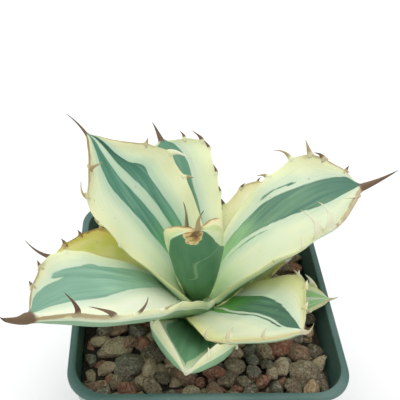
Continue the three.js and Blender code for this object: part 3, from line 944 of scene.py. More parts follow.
class Edge(Enum):
    """An edge of a leaf, seen from its root with the upper face up: the sign of the share across it."""

    LEFT = 1.0
    RIGHT = -1.0


@dataclass(frozen=True)
class Spine:
    """The spine that runs on from a leaf's tip.

    side and lift are its bend to the left and up as shares of its reach, radius is that of its foot, and
    wave is how far it sways to and fro on the way.
    """

    length: float
    side: float
    lift: float
    radius: float
    tone: Tone = Tone.BROWN
    wave: float = 0.0


@dataclass(frozen=True)
class Tooth:
    """A bent tooth on a leaf's edge, at a place along the leaf.

    Its tip lies in the direction (out of the edge, along the leaf, up off the face), and its last part is
    drawn aside by the hook, in millimetres in the same three directions. girth widens or narrows its foot.
    """

    edge: Edge
    place: float
    length: float
    tip: tuple[float, float, float]
    hook: tuple[float, float, float] = (0.0, 0.0, 0.0)
    tone: Tone = Tone.TAN
    girth: float = 1.0

    def bulge(self) -> tuple[float, float]:
        """Height of the swelling that the tooth stands on and its reach along the edge, in millimetres."""
        return 0.25 + 0.11 * self.length, 1.1 + 0.25 * self.length

    def half_width(self, s: np.ndarray) -> np.ndarray:
        """Half the width at each share of the length; a longer tooth has a wider foot."""
        foot = (0.34 * math.sqrt(self.length) + 0.75) * self.girth
        return foot * (1 - s) ** 1.25 + 0.2 * (1 - s) + 0.07

    def half_thickness(self, s: np.ndarray) -> np.ndarray:
        """Half the thickness at each share of the length."""
        return 0.52 * (1 - s) ** 0.8 + 0.06


POINT_RADIUS = 0.09  # of a spine's very tip
PRESS_GAP = 0.35  # room that a leaf keeps under a younger one
PRESS_ASIDE = (6.0, 1.0)  # distances beside the younger leaf between which the pressing sets in
PRESS_REACH = (14.0, 11.0)  # and distances from it
TOOTH_ROOT_DEPTH = 1.5  # how deep a tooth is sunk in the edge
TOOTH_DROP = 0.5  # how far its root lies under the upper face
TOOTH_SKIN_PLACE = 0.97  # share of the half width whose skin it carries
GROWN_WIDTH = 40.0  # a leaf narrower than this is thinner and waves less
ROOT_THICKNESS, LEAST_ROOT_THICKNESS = 6.0, 2.8
TIP_THICKNESS, LEAST_TIP_THICKNESS = 2.2, 1.4
EDGE_THICKNESS = 1.4
MARGIN_WAVE, MARGIN_WAVE_LENGTH = 0.55, 3.1  # height of the margins' wave, and its length over two pi
FACE_SWELL = 0.22  # height of the uneven swell of the faces
TIP_CROWDING = 1.35  # above 1, the blade's rows stand closer towards the tip
HEEL_ROWS = 10
BLADE_ROWS = 104
SPINE_ROWS = 22
BLADE_COLUMNS = 72
TOOTH_ROWS = 14
TOOTH_COLUMNS = 12


@dataclass(frozen=True)
class Leaf:
    """One leaf, shaped by the same values as its solid.

    The midrib starts at root (radius, height), heads out along its azimuth in degrees, turning by turn on
    the way, and rises at rise[0] degrees, ending at rise[1]. The blade is a channel whose width, measured
    round the channel, grows from waist x width to width at widest of its length and closes to the tip, the
    more like a cusp the nearer taper is to 1. cup holds the channel's half angle at the tip on the left and
    the right, wrap the one at the root, and roll the turn of the blade about its midrib at both ends, in
    degrees.

    heel is how far the round root end runs back under the younger leaves, dip how much of the leaf's own
    slope it follows there, and neck how far the root narrows. thickness stands for the usual one at the
    root. lean moves the bud's pieces with the bud, and younger holds the leaves that this one bends under.
    """

    name: str
    azimuth: float
    turn: float
    rise: tuple[float, float]
    length: float
    width: float
    widest: float
    waist: float
    cup: tuple[float, float]
    roll: tuple[float, float]
    root: tuple[float, float]
    taper: float
    spine: Spine
    finish: LeafFinish
    slot: str = "leaf"
    teeth: tuple[Tooth, ...] = ()
    wrap: float = 1.1
    thickness: float | None = None
    heel: float = 5.5
    neck: float = 0.0
    dip: float = 0.4
    seed: float = 0.0
    lean: Matrix = field(default_factory=lambda: Matrix.Identity(4))
    younger: tuple["Leaf", ...] = ()

    def width_share(self, t: np.ndarray) -> np.ndarray:
        """Share of the full width at each place.

        Args:
            t: Places along the leaf.

        Returns:
            The shares.
        """
        young = self.waist + (1 - self.waist) * np.sin(np.pi / 2 * np.clip(t / self.widest, 0, 1)) ** 1.2
        past = np.clip((t - self.widest) / (1 - self.widest), 0, 1)
        old = (1 - self.taper) * (1 - past**1.9) + self.taper * (1 + np.cos(np.pi * past)) / 2
        return np.where(t < self.widest, young, old)

    def frames(self, t: np.ndarray) -> tuple[np.ndarray, np.ndarray, np.ndarray, np.ndarray]:
        """Midrib points of the upper face and the directions along, to the left and up at each place.

        Args:
            t: Places along the leaf, 0 at the root and 1 at the tip.

        Returns:
            Points in millimetres and three rows of unit vectors.
        """

        def along_at(places: np.ndarray) -> tuple[np.ndarray, np.ndarray]:
            """The direction along the midrib and its azimuth, at each of the places."""
            azimuth = np.radians(self.azimuth + self.turn * places)
            rise = np.radians(self.rise[0] + (self.rise[1] - self.rise[0]) * places)
            flat = np.cos(rise)
            return np.stack([flat * np.cos(azimuth), flat * np.sin(azimuth), np.sin(rise)], -1), azimuth

        fine = np.linspace(0, 1, 401)
        heads, _ = along_at(fine)
        start = math.radians(self.azimuth)
        line = np.zeros((len(fine), 3))
        line[0] = (self.root[0] * math.cos(start), self.root[0] * math.sin(start), self.root[1])
        line[1:] = line[0] + np.cumsum((heads[1:] + heads[:-1]) / 2, 0) * self.length / (len(fine) - 1)
        points = np.stack([np.interp(t, fine, line[:, k]) for k in range(3)], -1)
        along, azimuth = along_at(t)
        level = np.stack([-np.sin(azimuth), np.cos(azimuth), 0 * azimuth], -1)
        raised = np.cross(along, level)
        roll = np.radians(self.roll[0] + (self.roll[1] - self.roll[0]) * t)[:, None]
        side = level * np.cos(roll) + raised * np.sin(roll)
        return points, along, side, np.cross(along, side)

    def channel(self, t: np.ndarray, u: np.ndarray) -> np.ndarray:
        """Half angle of the channel at each place."""
        end = np.where(u > 0, self.cup[0], self.cup[1])
        return end + (self.wrap - end) * (1 - t) ** 3

    def depth(self, t: np.ndarray, u: np.ndarray) -> np.ndarray:
        """Thickness in millimetres at each place, closing to the edges.

        Args:
            t: Places along the leaf.
            u: Shares of the half width.

        Returns:
            The thicknesses.
        """
        size = min(self.width / GROWN_WIDTH, 1)
        usual = max(ROOT_THICKNESS * size, LEAST_ROOT_THICKNESS)
        base = usual if self.thickness is None else self.thickness
        middle = base + (max(TIP_THICKNESS * size, LEAST_TIP_THICKNESS) - base) * t**0.9
        edge = np.minimum(EDGE_THICKNESS, middle)
        return (middle + (edge - middle) * u * u) * np.sqrt(np.clip(1 - np.abs(u) ** 9, 0, 1))

    def swelling(self, t: np.ndarray, u: np.ndarray) -> np.ndarray:
        """How far the edge bulges outwards under the teeth, in millimetres.

        Args:
            t: Places along the leaf.
            u: Shares of the half width.

        Returns:
            The distances.
        """
        total = np.zeros_like(t)
        for tooth in self.teeth:
            height, reach = tooth.bulge()
            near = np.exp(-(((t - tooth.place) * self.length / reach) ** 2))
            total += np.where(u * tooth.edge.value > 0, height * near, 0)
        return total * np.abs(u) ** 5

    def face(self, t: np.ndarray, u: np.ndarray) -> tuple[np.ndarray, np.ndarray, np.ndarray]:
        """Points of the upper face with their normals and the directions across, to the left.

        Args:
            t: Places along the leaf.
            u: Shares of the half width, left positive.

        Returns:
            Points in millimetres and two rows of unit vectors.
        """
        middle, _, side, up = self.frames(t)
        wrap = self.channel(t, u)
        radius = self.width / 2 * self.width_share(t) / wrap
        angle = (wrap * u)[:, None]
        across = side * np.cos(angle) + up * np.sin(angle)
        normal = up * np.cos(angle) - side * np.sin(angle)
        points = middle + radius[:, None] * (side * np.sin(angle) + up * (1 - np.cos(angle)))
        points = points + across * (np.sign(u) * self.swelling(t, u))[:, None]
        free = smooth(0.15, 0.5, t) * smooth(0, 0.15, 1 - t) * min(self.width / GROWN_WIDTH, 1)
        phase = t * self.length / MARGIN_WAVE_LENGTH + self.seed + 2 * u
        wavy = MARGIN_WAVE * np.abs(u) ** 4 * np.sin(phase)
        lift = free * (wavy + FACE_SWELL * ripple(3 * u, 7 * t, self.seed))
        return points + normal * lift[:, None], normal, across

    def blade(self) -> bpy.types.Object:
        """The blade with its spine as one closed piece, its place on the leaf stored for the skin.

        Returns:
            The new piece.
        """
        first = HEEL_ROWS + 1
        rows = first + BLADE_ROWS + SPINE_ROWS + 1
        piece, around, along = rolled_grid(self.name, BLADE_COLUMNS, rows)
        row = np.round(along * rows).astype(int)
        share = np.clip((row - first) / BLADE_ROWS, 0, 1)
        t = 1 - (1 - share) ** TIP_CROWDING
        q = np.clip((row - first - BLADE_ROWS) / SPINE_ROWS, 0, 1)
        folded = np.where(around <= 0.5, 1 - 4 * around, 4 * around - 3)
        u = np.sin(np.pi / 2 * folded)
        lower = around > 0.5
        top, normal, _ = self.face(t, u)
        points = top - normal * np.where(lower, self.depth(t, u), 0)[:, None]
        # the end of the blade draws together into the round foot of the spine
        middle, ahead, side, up = self.frames(t)
        axis = middle - up * (self.depth(t, 0 * u) / 2)[:, None]
        forward = self.spine.length / math.hypot(1, self.spine.side, self.spine.lift)
        sway = self.spine.wave * np.sin(2 * np.pi * q * 1.1) * np.sin(np.pi * q)
        aside = forward * self.spine.side * q * q + sway
        raised = forward * self.spine.lift * q * q + 0.6 * sway
        axis = axis + ahead * (forward * q)[:, None] + side * aside[:, None]
        axis = axis + up * raised[:, None]
        radius = self.spine.radius + (POINT_RADIUS - self.spine.radius) * q**0.85
        radius = np.where(row >= rows, 0, radius)
        turn = 2 * np.pi * around
        ring = axis + side * (radius * np.cos(turn))[:, None] + up * (radius * np.sin(turn))[:, None]
        drawn = smooth(0.93, 1.0, t)[:, None]
        points = points * (1 - drawn) + ring * drawn
        # the root end is a round heel that runs back under the younger leaves
        back = np.clip((first - row) / first, 0, 1)[:, None] * np.pi / 2
        heading = ahead * (1.0, 1.0, self.dip)
        heading = heading / np.linalg.norm(heading, axis=1)[:, None]
        neck = (1 - self.neck * smooth(0.14, 0.0, t))[:, None]
        points = axis + (points - axis) * neck * np.cos(back) - heading * self.heel * np.sin(back)
        write_points(piece, self.to_row(self.pressed(points, t)))
        write_blade_map(piece, u, np.minimum(t, 1.0))
        write_attribute(piece, UNDER, np.where(lower, 1.0, 0.0) * (1 - np.abs(u) ** 40))
        write_attribute(piece, HORN, 0.45 * smooth(0.955, 1.0, t) + 0.55 * q)
        write_attribute(piece, TONE, np.full(len(t), self.spine.tone.value))
        close_up(piece)
        return piece

    def lower_face(self) -> tuple[np.ndarray, np.ndarray, np.ndarray]:
        """Points spread over the lower face, the normals of the upper face over them and their places.

        Returns:
            Points in millimetres, unit vectors and places along the leaf.
        """
        t, u = (axis.ravel() for axis in np.meshgrid(np.linspace(0, 1, 61), np.linspace(-1, 1, 31)))
        face, normal, _ = self.face(t, u)
        return face - normal * self.depth(t, u)[:, None], normal, t

    def pressed(self, points: np.ndarray, t: np.ndarray) -> np.ndarray:
        """The same points with those that would stand in a younger leaf bent down under it.

        Args:
            points: Points of this leaf in millimetres.
            t: Their places along it.

        Returns:
            The new points.
        """
        for other in self.younger:
            guard, normal, place = other.lower_face()
            tree = KDTree(len(guard))
            for k, spot in enumerate(guard):
                tree.insert(spot, k)
            tree.balance()
            found = [tree.find(point) for point in points]
            near = np.array([hit[1] for hit in found])
            offset = points - guard[near]
            rise = (offset * normal[near]).sum(1)
            aside = np.linalg.norm(offset - rise[:, None] * normal[near], axis=1)
            share = smooth(*PRESS_ASIDE, aside) * smooth(-0.02, 0.02, t) * smooth(0.06, 0.16, place[near])
            share = share * smooth(*PRESS_REACH, np.array([hit[2] for hit in found]))
            points = points - normal[near] * (np.maximum(rise + PRESS_GAP, 0) * share)[:, None]
        return points

    def to_row(self, points: np.ndarray) -> np.ndarray:
        """Points in millimetres as points in metres, leaned with the bud where the leaf is part of it."""
        turn = np.array(self.lean)
        return (points @ turn[:3, :3].T + turn[:3, 3]) * MM

    def tooth(self, tooth: Tooth, model: RolledGrid) -> bpy.types.Object:
        """A copy of the model tooth, bent along its line with its root sunk in the edge.

        Args:
            tooth: The tooth's values.
            model: The grid that every tooth is a copy of.

        Returns:
            The tooth as a piece of its own.
        """
        edge = tooth.edge.value
        place = np.array([tooth.place])
        face, normal, across = (rows[0] for rows in self.face(place, np.array([edge])))
        ahead = self.frames(place)[1][0]
        outward = across * edge
        root = self.pressed(face[None], place)[0] - normal * TOOTH_DROP - outward * TOOTH_ROOT_DEPTH
        axes = np.stack([outward, ahead, normal])
        tip = np.array(tooth.tip) @ axes
        tip = tip / np.linalg.norm(tip)
        hook = np.array(tooth.hook) @ axes
        reach = tooth.length + TOOTH_ROOT_DEPTH
        # its middle line leaves the edge outwards, bends to the tip's direction and ends drawn aside
        s = np.clip(model.along, 0, 1)
        late = np.clip((s - 0.4) / 0.6, 0, 1)
        centre = root + (reach * s * (1 - s))[:, None] * outward + (reach * s * s)[:, None] * tip
        centre = centre + (late**3)[:, None] * hook
        heading = (1 - 2 * s)[:, None] * outward + (2 * s)[:, None] * tip
        heading = heading + (5 * late**2 / reach)[:, None] * hook
        broad = np.empty_like(centre)
        deep = np.empty_like(centre)
        for value in np.unique(s):
            pick = s == value
            bend = Vector(outward).rotation_difference(Vector(heading[pick][0]).normalized())
            broad[pick] = bend @ Vector(ahead)
            deep[pick] = bend @ Vector(normal)
        ends = (s <= 0) | (s >= 1)
        turn = 2 * np.pi * model.around
        wide = np.where(ends, 0, tooth.half_width(s) * np.cos(turn))
        thick = np.where(ends, 0, tooth.half_thickness(s) * np.sin(turn))
        piece = own_copy(model.piece, self.name + "_tooth")
        write_points(piece, self.to_row(centre + wide[:, None] * broad + thick[:, None] * deep))
        write_blade_map(piece, np.full(len(s), edge * TOOTH_SKIN_PLACE), np.full(len(s), tooth.place))
        write_attribute(piece, UNDER, 0 * s)
        emerged = TOOTH_ROOT_DEPTH / reach
        write_attribute(piece, HORN, np.clip((s - emerged) / (1 - emerged), 0, 1))
        write_attribute(piece, TONE, np.full(len(s), tooth.tone.value))
        close_up(piece)
        return piece

    def build(self, model: RolledGrid, groups: Groups) -> None:
        """Builds the leaf with its teeth, dresses it and lets it stand for its solid.

        Args:
            model: The grid that every tooth is a copy of.
            groups: The shared node groups.
        """
        piece = join([self.blade(), *(self.tooth(tooth, model) for tooth in self.teeth)])
        piece.name = piece.data.name = self.name + "_skin"
        piece.data.materials.clear()
        piece.data.materials.append(self.finish.material(self.name, groups))
        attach(piece, BODY)
        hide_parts(self.name)
        LOG.info("%s: %d teeth, %d faces", self.name, len(self.teeth), len(piece.data.polygons))


BUD_PIVOT = 78.0  # height that the bud leans about
BUD_FOOT = (-2.0, 0.0, BUD_PIVOT)  # where it stands
BUD_TILT = 7.5  # degrees to the left


def bud_lean() -> Matrix:
    """The matrix that sets the closed bud on its foot and leans it to the left, in millimetres."""
    tilt = Matrix.Rotation(-math.radians(BUD_TILT), 4, "Y")
    return Matrix.Translation(BUD_FOOT) @ tilt @ Matrix.Translation((0.0, 0.0, -BUD_PIVOT))


# ---------- the leaves' skins ----------


SHUT_SKIN = LeafFinish(
    bands=(Band(left=((0, 0.7), (1, 0.6)), right=((0, -0.7), (1, -0.6))),), under_width=-2.0,
    leaf_green="#4f8060", deep_green="#3c6a4c", fresh_green="#4f8a48", brown="#a98353",
    browning=((0, 0), (0.5, 0), (0.8, 0.8), (1, 1)),
)
BUD_FRONT_SKIN = LeafFinish(
    bands=(
        Band(
            left=((0, 0.95), (0.42, 0.93), (0.6, 0.7), (0.75, 0.4), (0.89, 0.25), (1, 0.25)),
            right=((0, -0.8), (0.32, -0.93), (0.5, -0.85), (0.7, -0.68), (0.88, -0.58), (1, -0.4)),
        ),
    ),
    leaf_green="#528a66", deep_green="#326247", fresh_green="#46912f", under_green="#4a8158", pale="#c6dcb2",
    cream="#ebe9c0", margin="#e9e3b4", base_cream="#b4cf86", brown="#a38450", dry_colour="#cdb478",
    dry_heart="#4f2c14", browning=((0, 0), (0.6, 0), (0.85, 0.9), (1, 1)),
    dry=(
        (0, 0.97), (0.16, 0.955), (0.24, 0.93), (0.33, 0.89), (0.43, 0.845), (0.5, 0.87), (0.56, 0.93),
        (0.66, 0.965), (1, 0.97),
    ),
    under_width=-2.0,
    imprint=(
        (0, -1.5), (0.36, -1.2), (0.44, -0.16), (0.56, -0.13), (0.64, -0.1), (0.67, 0.05), (0.7, 0.25),
        (0.73, 0.4), (0.8, 1.5),
    ),
    seed=4.0,
)

# colours that the lowest, oldest leaves share
OLD_COLOURS = {
    "leaf_green": "#9bb277", "deep_green": "#7f9c5c", "fresh_green": "#8fb052", "pale": "#cdd79a",
    "cream": "#dbdc9f", "margin": "#cfc66a", "base_cream": "#c9d384", "brown": "#9c7440",
}

BACK_LEFT_SKIN = LeafFinish(
    bands=(
        Band(
            left=((0, 0.08), (0.3, 0.13), (0.45, 0.19), (0.6, 0.25), (0.75, 0.36), (0.87, 0.37), (1, 0.2)),
            right=(
                (0, -0.12), (0.3, -0.13), (0.45, -0.1), (0.6, -0.03), (0.75, 0.03), (0.87, 0.03), (1, -0.4),
            ),
        ),
        Band(
            left=(
                (0, -0.34), (0.35, -0.32), (0.5, -0.27), (0.7, -0.17), (0.8, -0.15), (0.9, -0.3), (1, -0.5),
            ),
            right=(
                (0, -0.55), (0.35, -0.54), (0.5, -0.48), (0.62, -0.46), (0.68, -0.51), (0.76, -0.36),
                (0.85, -0.42), (1, -1.2),
            ),
        ),
    ),
    deep_green="#38795f", fresh_green="#73c366", cream="#dbe5c2", margin="#e3e4b0", pale="#a6c6ae",
    # its bands carry painted shade on their right side, which faces away from the light
    browning=((0, 0), (0.66, 0), (0.76, 0.45), (0.86, 0.9), (1, 1)), seed=1.0, right_shade=1.0,
)
RIGHT_SKIN = LeafFinish(
    bands=(
        Band(
            left=(
                (0, 0.8), (0.2, 0.79), (0.35, 0.73), (0.5, 0.68), (0.6, 0.61), (0.7, 0.53), (0.8, 0.5),
                (0.9, 0.56), (1, 0.9),
            ),
            right=(
                (0, 0.62), (0.18, 0.55), (0.3, 0.44), (0.43, 0.29), (0.6, 0.11), (0.7, 0), (0.8, -0.07),
                (0.9, -0.06), (1, -0.1),
            ),
        ),
        Band(
            left=((0, 0.6), (0.16, 0.49), (0.28, 0.37), (0.36, 0.29), (0.46, 0.14), (1, -1.5)),
            right=((0, 0.54), (0.16, 0.45), (0.28, 0.33), (0.36, 0.26), (0.46, 0.19), (1, 1.5)),
        ),
        Band(
            left=((0, -1.5), (0.42, 0.6), (0.5, 0.775), (0.56, 0.76), (0.62, 0.715), (0.7, 0.62), (1, -1.5)),
            right=(
                (0, 1.5), (0.42, 0.86), (0.5, 0.755), (0.56, 0.735), (0.62, 0.69), (0.7, 0.625), (1, 1.5),
            ),
        ),
    ),
    # fresh_green is painted light: partly the leaf's own fresh root, partly painted light where its low part
    # lies in shade
    leaf_green="#85ad84", deep_green="#457561", fresh_green="#bcee9c", cream="#e4e9c4", base_cream="#dfe9c8",
    browning=((0, 0), (0.74, 0), (0.84, 0.8), (1, 1)), brown="#ae9d78", dry_colour="#dfd6b4",
    dry_heart="#c9b892", dry=((0, 0.77), (0.1, 0.83), (0.18, 0.93), (0.27, 0.985), (1, 0.985)),
    tip_shade=0.8, seed=2.0,
)
FRONT_LEFT_SKIN = LeafFinish(
    bands=(
        Band(
            left=(
                (0, -0.75), (0.12, -0.63), (0.21, -0.5), (0.32, -0.38), (0.41, -0.28), (0.5, -0.19),
                (0.6, -0.1), (0.75, -0.08), (0.9, -0.14), (1, -0.05),
            ),
            right=(
                (0, -0.85), (0.2, -0.9), (0.35, -0.85), (0.45, -0.8), (0.58, -0.73), (0.64, -0.72),
                (0.69, -0.66), (0.73, -0.585), (0.8, -0.6), (0.85, -0.66), (0.9, -0.72), (0.95, -0.82),
                (1, -1),
            ),
        ),
        Band(
            left=(
                (0, -1.5), (0.5, -0.5), (0.68, -0.58), (0.75, -0.61), (0.79, -0.67), (0.84, -0.9), (1, -1.5),
            ),
            right=(
                (0, 1.5), (0.5, -0.76), (0.64, -0.72), (0.72, -0.7), (0.79, -0.68), (0.84, -0.3), (1, 1.5),
            ),
        ),
    ),
    # fresh_green and base_cream are painted pale: partly the leaf's own pale root, partly painted light
    # where the leaf above shades its root
    leaf_green="#9dc6ab", deep_green="#71a089", fresh_green="#bfe3b6", base_cream="#f0f5de", cream="#eef4d2",
    brown="#a5946f", browning=((0, 0), (0.74, 0), (0.84, 0.8), (1, 1)), seed=3.0,
)
BACK_SKIN = LeafFinish(
    bands=(
        Band(
            left=((0, 0.3), (0.5, 0.3), (0.8, 0.36), (1, 0.5)),
            right=(
                (0, -0.42), (0.5, -0.4), (0.66, -0.37), (0.78, -0.41), (0.86, -0.37), (0.93, -0.42),
                (1, -1.1),
            ),
        ),
    ),
    leaf_green="#7faa8c", deep_green="#5b9277", cream="#e0e9c4", browning=((0, 0), (0.88, 0), (1, 0.4)),
    seed=4.0,
)
FRONT_RIGHT_SKIN = LeafFinish(
    bands=(
        Band(
            left=(
                (0, 0.66), (0.22, 0.6), (0.48, 0.52), (0.6, 0.45), (0.71, 0.38), (0.82, 0.32), (0.9, 0.27),
                (1, 0),
            ),
            right=(
                (0, 0.02), (0.12, 0.13), (0.26, 0.07), (0.43, 0.09), (0.6, 0.1), (0.76, 0.03), (0.83, -0.05),
                (0.9, -0.12), (1, 0),
            ),
        ),
        Band(
            left=(
                (0, -0.02), (0.12, 0.06), (0.26, 0), (0.43, 0.03), (0.6, 0.05), (0.76, -0.02),
                (0.83, -0.1), (0.9, -0.3), (1, -1.5),
            ),
            right=(
                (0, -0.1), (0.18, -0.13), (0.27, -0.08), (0.43, -0.02), (0.63, 0.01), (0.76, -0.06),
                (0.83, -0.12), (0.9, 0), (1, 1.5),
            ),
        ),
    ),
    leaf_green="#648f6c", deep_green="#3a6350", cream="#e1e6c3", margin="#dfdf8e", base_cream="#d7dfbe",
    tip_shade=0.9, dry_colour="#d8d0a0", brown="#cfc496",
    browning=((0, 0), (0.2, 0.1), (0.6, 0.5), (1, 0.7)), seed=5.0,
)
LEFT_SKIN = LeafFinish(
    bands=(Band(left=((0, 0.5), (0.6, 0.5), (1, 0.3)), right=((0, -0.2), (0.6, -0.25), (1, 0.2))),),
    **(OLD_COLOURS | {
        "cream": "#e9e290", "margin": "#e6d550", "base_cream": "#d2d760", "pale": "#c9cd74",
        "leaf_green": "#a0b363", "deep_green": "#8aa357",
    }),
    browning=((0, 0), (0.6, 0.3), (0.8, 0.9), (1, 1)), seed=6.0,
)
BACK_RIGHT_SKIN = LeafFinish(
    bands=(Band(left=((0, 0.3), (0.6, 0.3), (1, 0.1)), right=((0, -0.4), (0.6, -0.35), (1, -0.1))),),
    **(OLD_COLOURS | {"cream": "#fbf8dc", "margin": "#f3efb0", "base_cream": "#e6ebaa"}),
    browning=((0, 0), (0.6, 0.1), (0.8, 0.6), (1, 1)), seed=7.0,
)
FRONT_SKIN = LeafFinish(
    bands=(
        Band(
            left=((0, 0.4), (0.3, 0.38), (0.56, 0.4), (0.68, 0.22), (0.8, 0.07), (0.9, -0.05), (1, -0.1)),
            right=(
                (0, -0.4), (0.3, -0.4), (0.45, -0.5), (0.6, -0.55), (0.7, -0.35), (0.88, -0.12), (1, -0.1),
            ),
        ),
    ),
    # its greens are painted lighter than the leaf's own: painted light in its deep channel, which the leaf
    # above shades
    leaf_green="#8cbf98", deep_green="#72a87f", fresh_green="#86bd72", cream="#e3e6c4", margin="#e9e3a4",
    pale="#c8dbb4", under_green="#8fb287", under_width=0.76, brown="#dfe4c4", dry_colour="#e8e4a8",
    browning=((0, 0.2), (0.4, 0.7), (1, 0.8)), seed=8.0,
)
LOW_BACK_LEFT_SKIN = LeafFinish(
    bands=(Band(left=((0, 0.4), (1, 0.1)), right=((0, -0.4), (1, -0.1))),), **OLD_COLOURS,
    browning=((0, 0), (0.6, 0.2), (1, 1)), seed=9.0,
)
LOW_RIGHT_SKIN = LeafFinish(
    bands=(
        Band(left=((0, 0.6), (0.7, 0.62), (0.9, 0.5), (1, 0.3)), right=((0, 0.16), (0.8, 0.18), (1, 0.1))),
        Band(left=((0, -0.1), (0.8, -0.1), (1, -0.05)), right=((0, -0.3), (0.8, -0.34), (1, -0.2))),
        Band(left=((0, -0.5), (0.8, -0.5), (1, -0.35)), right=((0, -0.75), (0.8, -0.75), (1, -0.5))),
    ),
    # its greens are painted lighter than the leaf's own: painted light where the leaf above shades it
    leaf_green="#bfe6a0", deep_green="#96ca84", cream="#f4f7cf", margin="#ecf2a8",
    browning=((0, 0), (0.8, 0.2), (1, 0.9)), seed=10.0,
)
LOW_BACK_SKIN = replace(LOW_BACK_LEFT_SKIN, seed=11.0)
LOW_SMALL_SKIN = LeafFinish(
    bands=(Band(left=((0, 0.5), (0.7, 0.3), (1, 0)), right=((0, -0.5), (0.7, -0.3), (1, 0))),),
    **OLD_COLOURS, browning=((0, 0), (0.8, 0.2), (1, 0.8)), seed=12.0,
)


# ---------- the leaves' shapes ----------


def young_leaves() -> tuple[Leaf, ...]:
    """The bud's three pieces, from the inside out.

    Returns:
        The three pieces.
    """
    lean = bud_lean()
    return (
        Leaf(
            "bud_spear", azimuth=197, turn=0, rise=(84, 94), length=28, width=13, widest=0.4, waist=0.8,
            cup=(2, 2), roll=(0, 0), root=(1.8, 79), taper=0.5,
            spine=Spine(length=4, side=0, lift=0, radius=0.7, tone=Tone.TAN), finish=SHUT_SKIN, slot="bud",
            wrap=2, thickness=1.8, seed=1, lean=lean,
        ),
        Leaf(
            "bud_back_leaf", azimuth=118, turn=5, rise=(80, 97), length=28.5, width=23, widest=0.6,
            waist=0.6, cup=(1.5, 1.5), roll=(0, 0), root=(3, 79), taper=0.4,
            spine=Spine(length=12, side=0.12, lift=0, radius=0.75, tone=Tone.HONEY), finish=SHUT_SKIN,
            slot="bud", wrap=1.5, thickness=2, seed=2, lean=lean,
        ),
        Leaf(
            "bud_front_leaf", azimuth=280, turn=0, rise=(64, 101), length=39, width=29, widest=0.82,
            waist=0.45, cup=(1.7, 1.7), roll=(0, 0), root=(2.4, 79.5), taper=0.15,
            spine=Spine(length=6, side=0.4, lift=-0.1, radius=0.9, tone=Tone.TAN), finish=BUD_FRONT_SKIN,
            slot="bud", wrap=1.6, thickness=2.2, seed=3, lean=lean,
        ),
    )


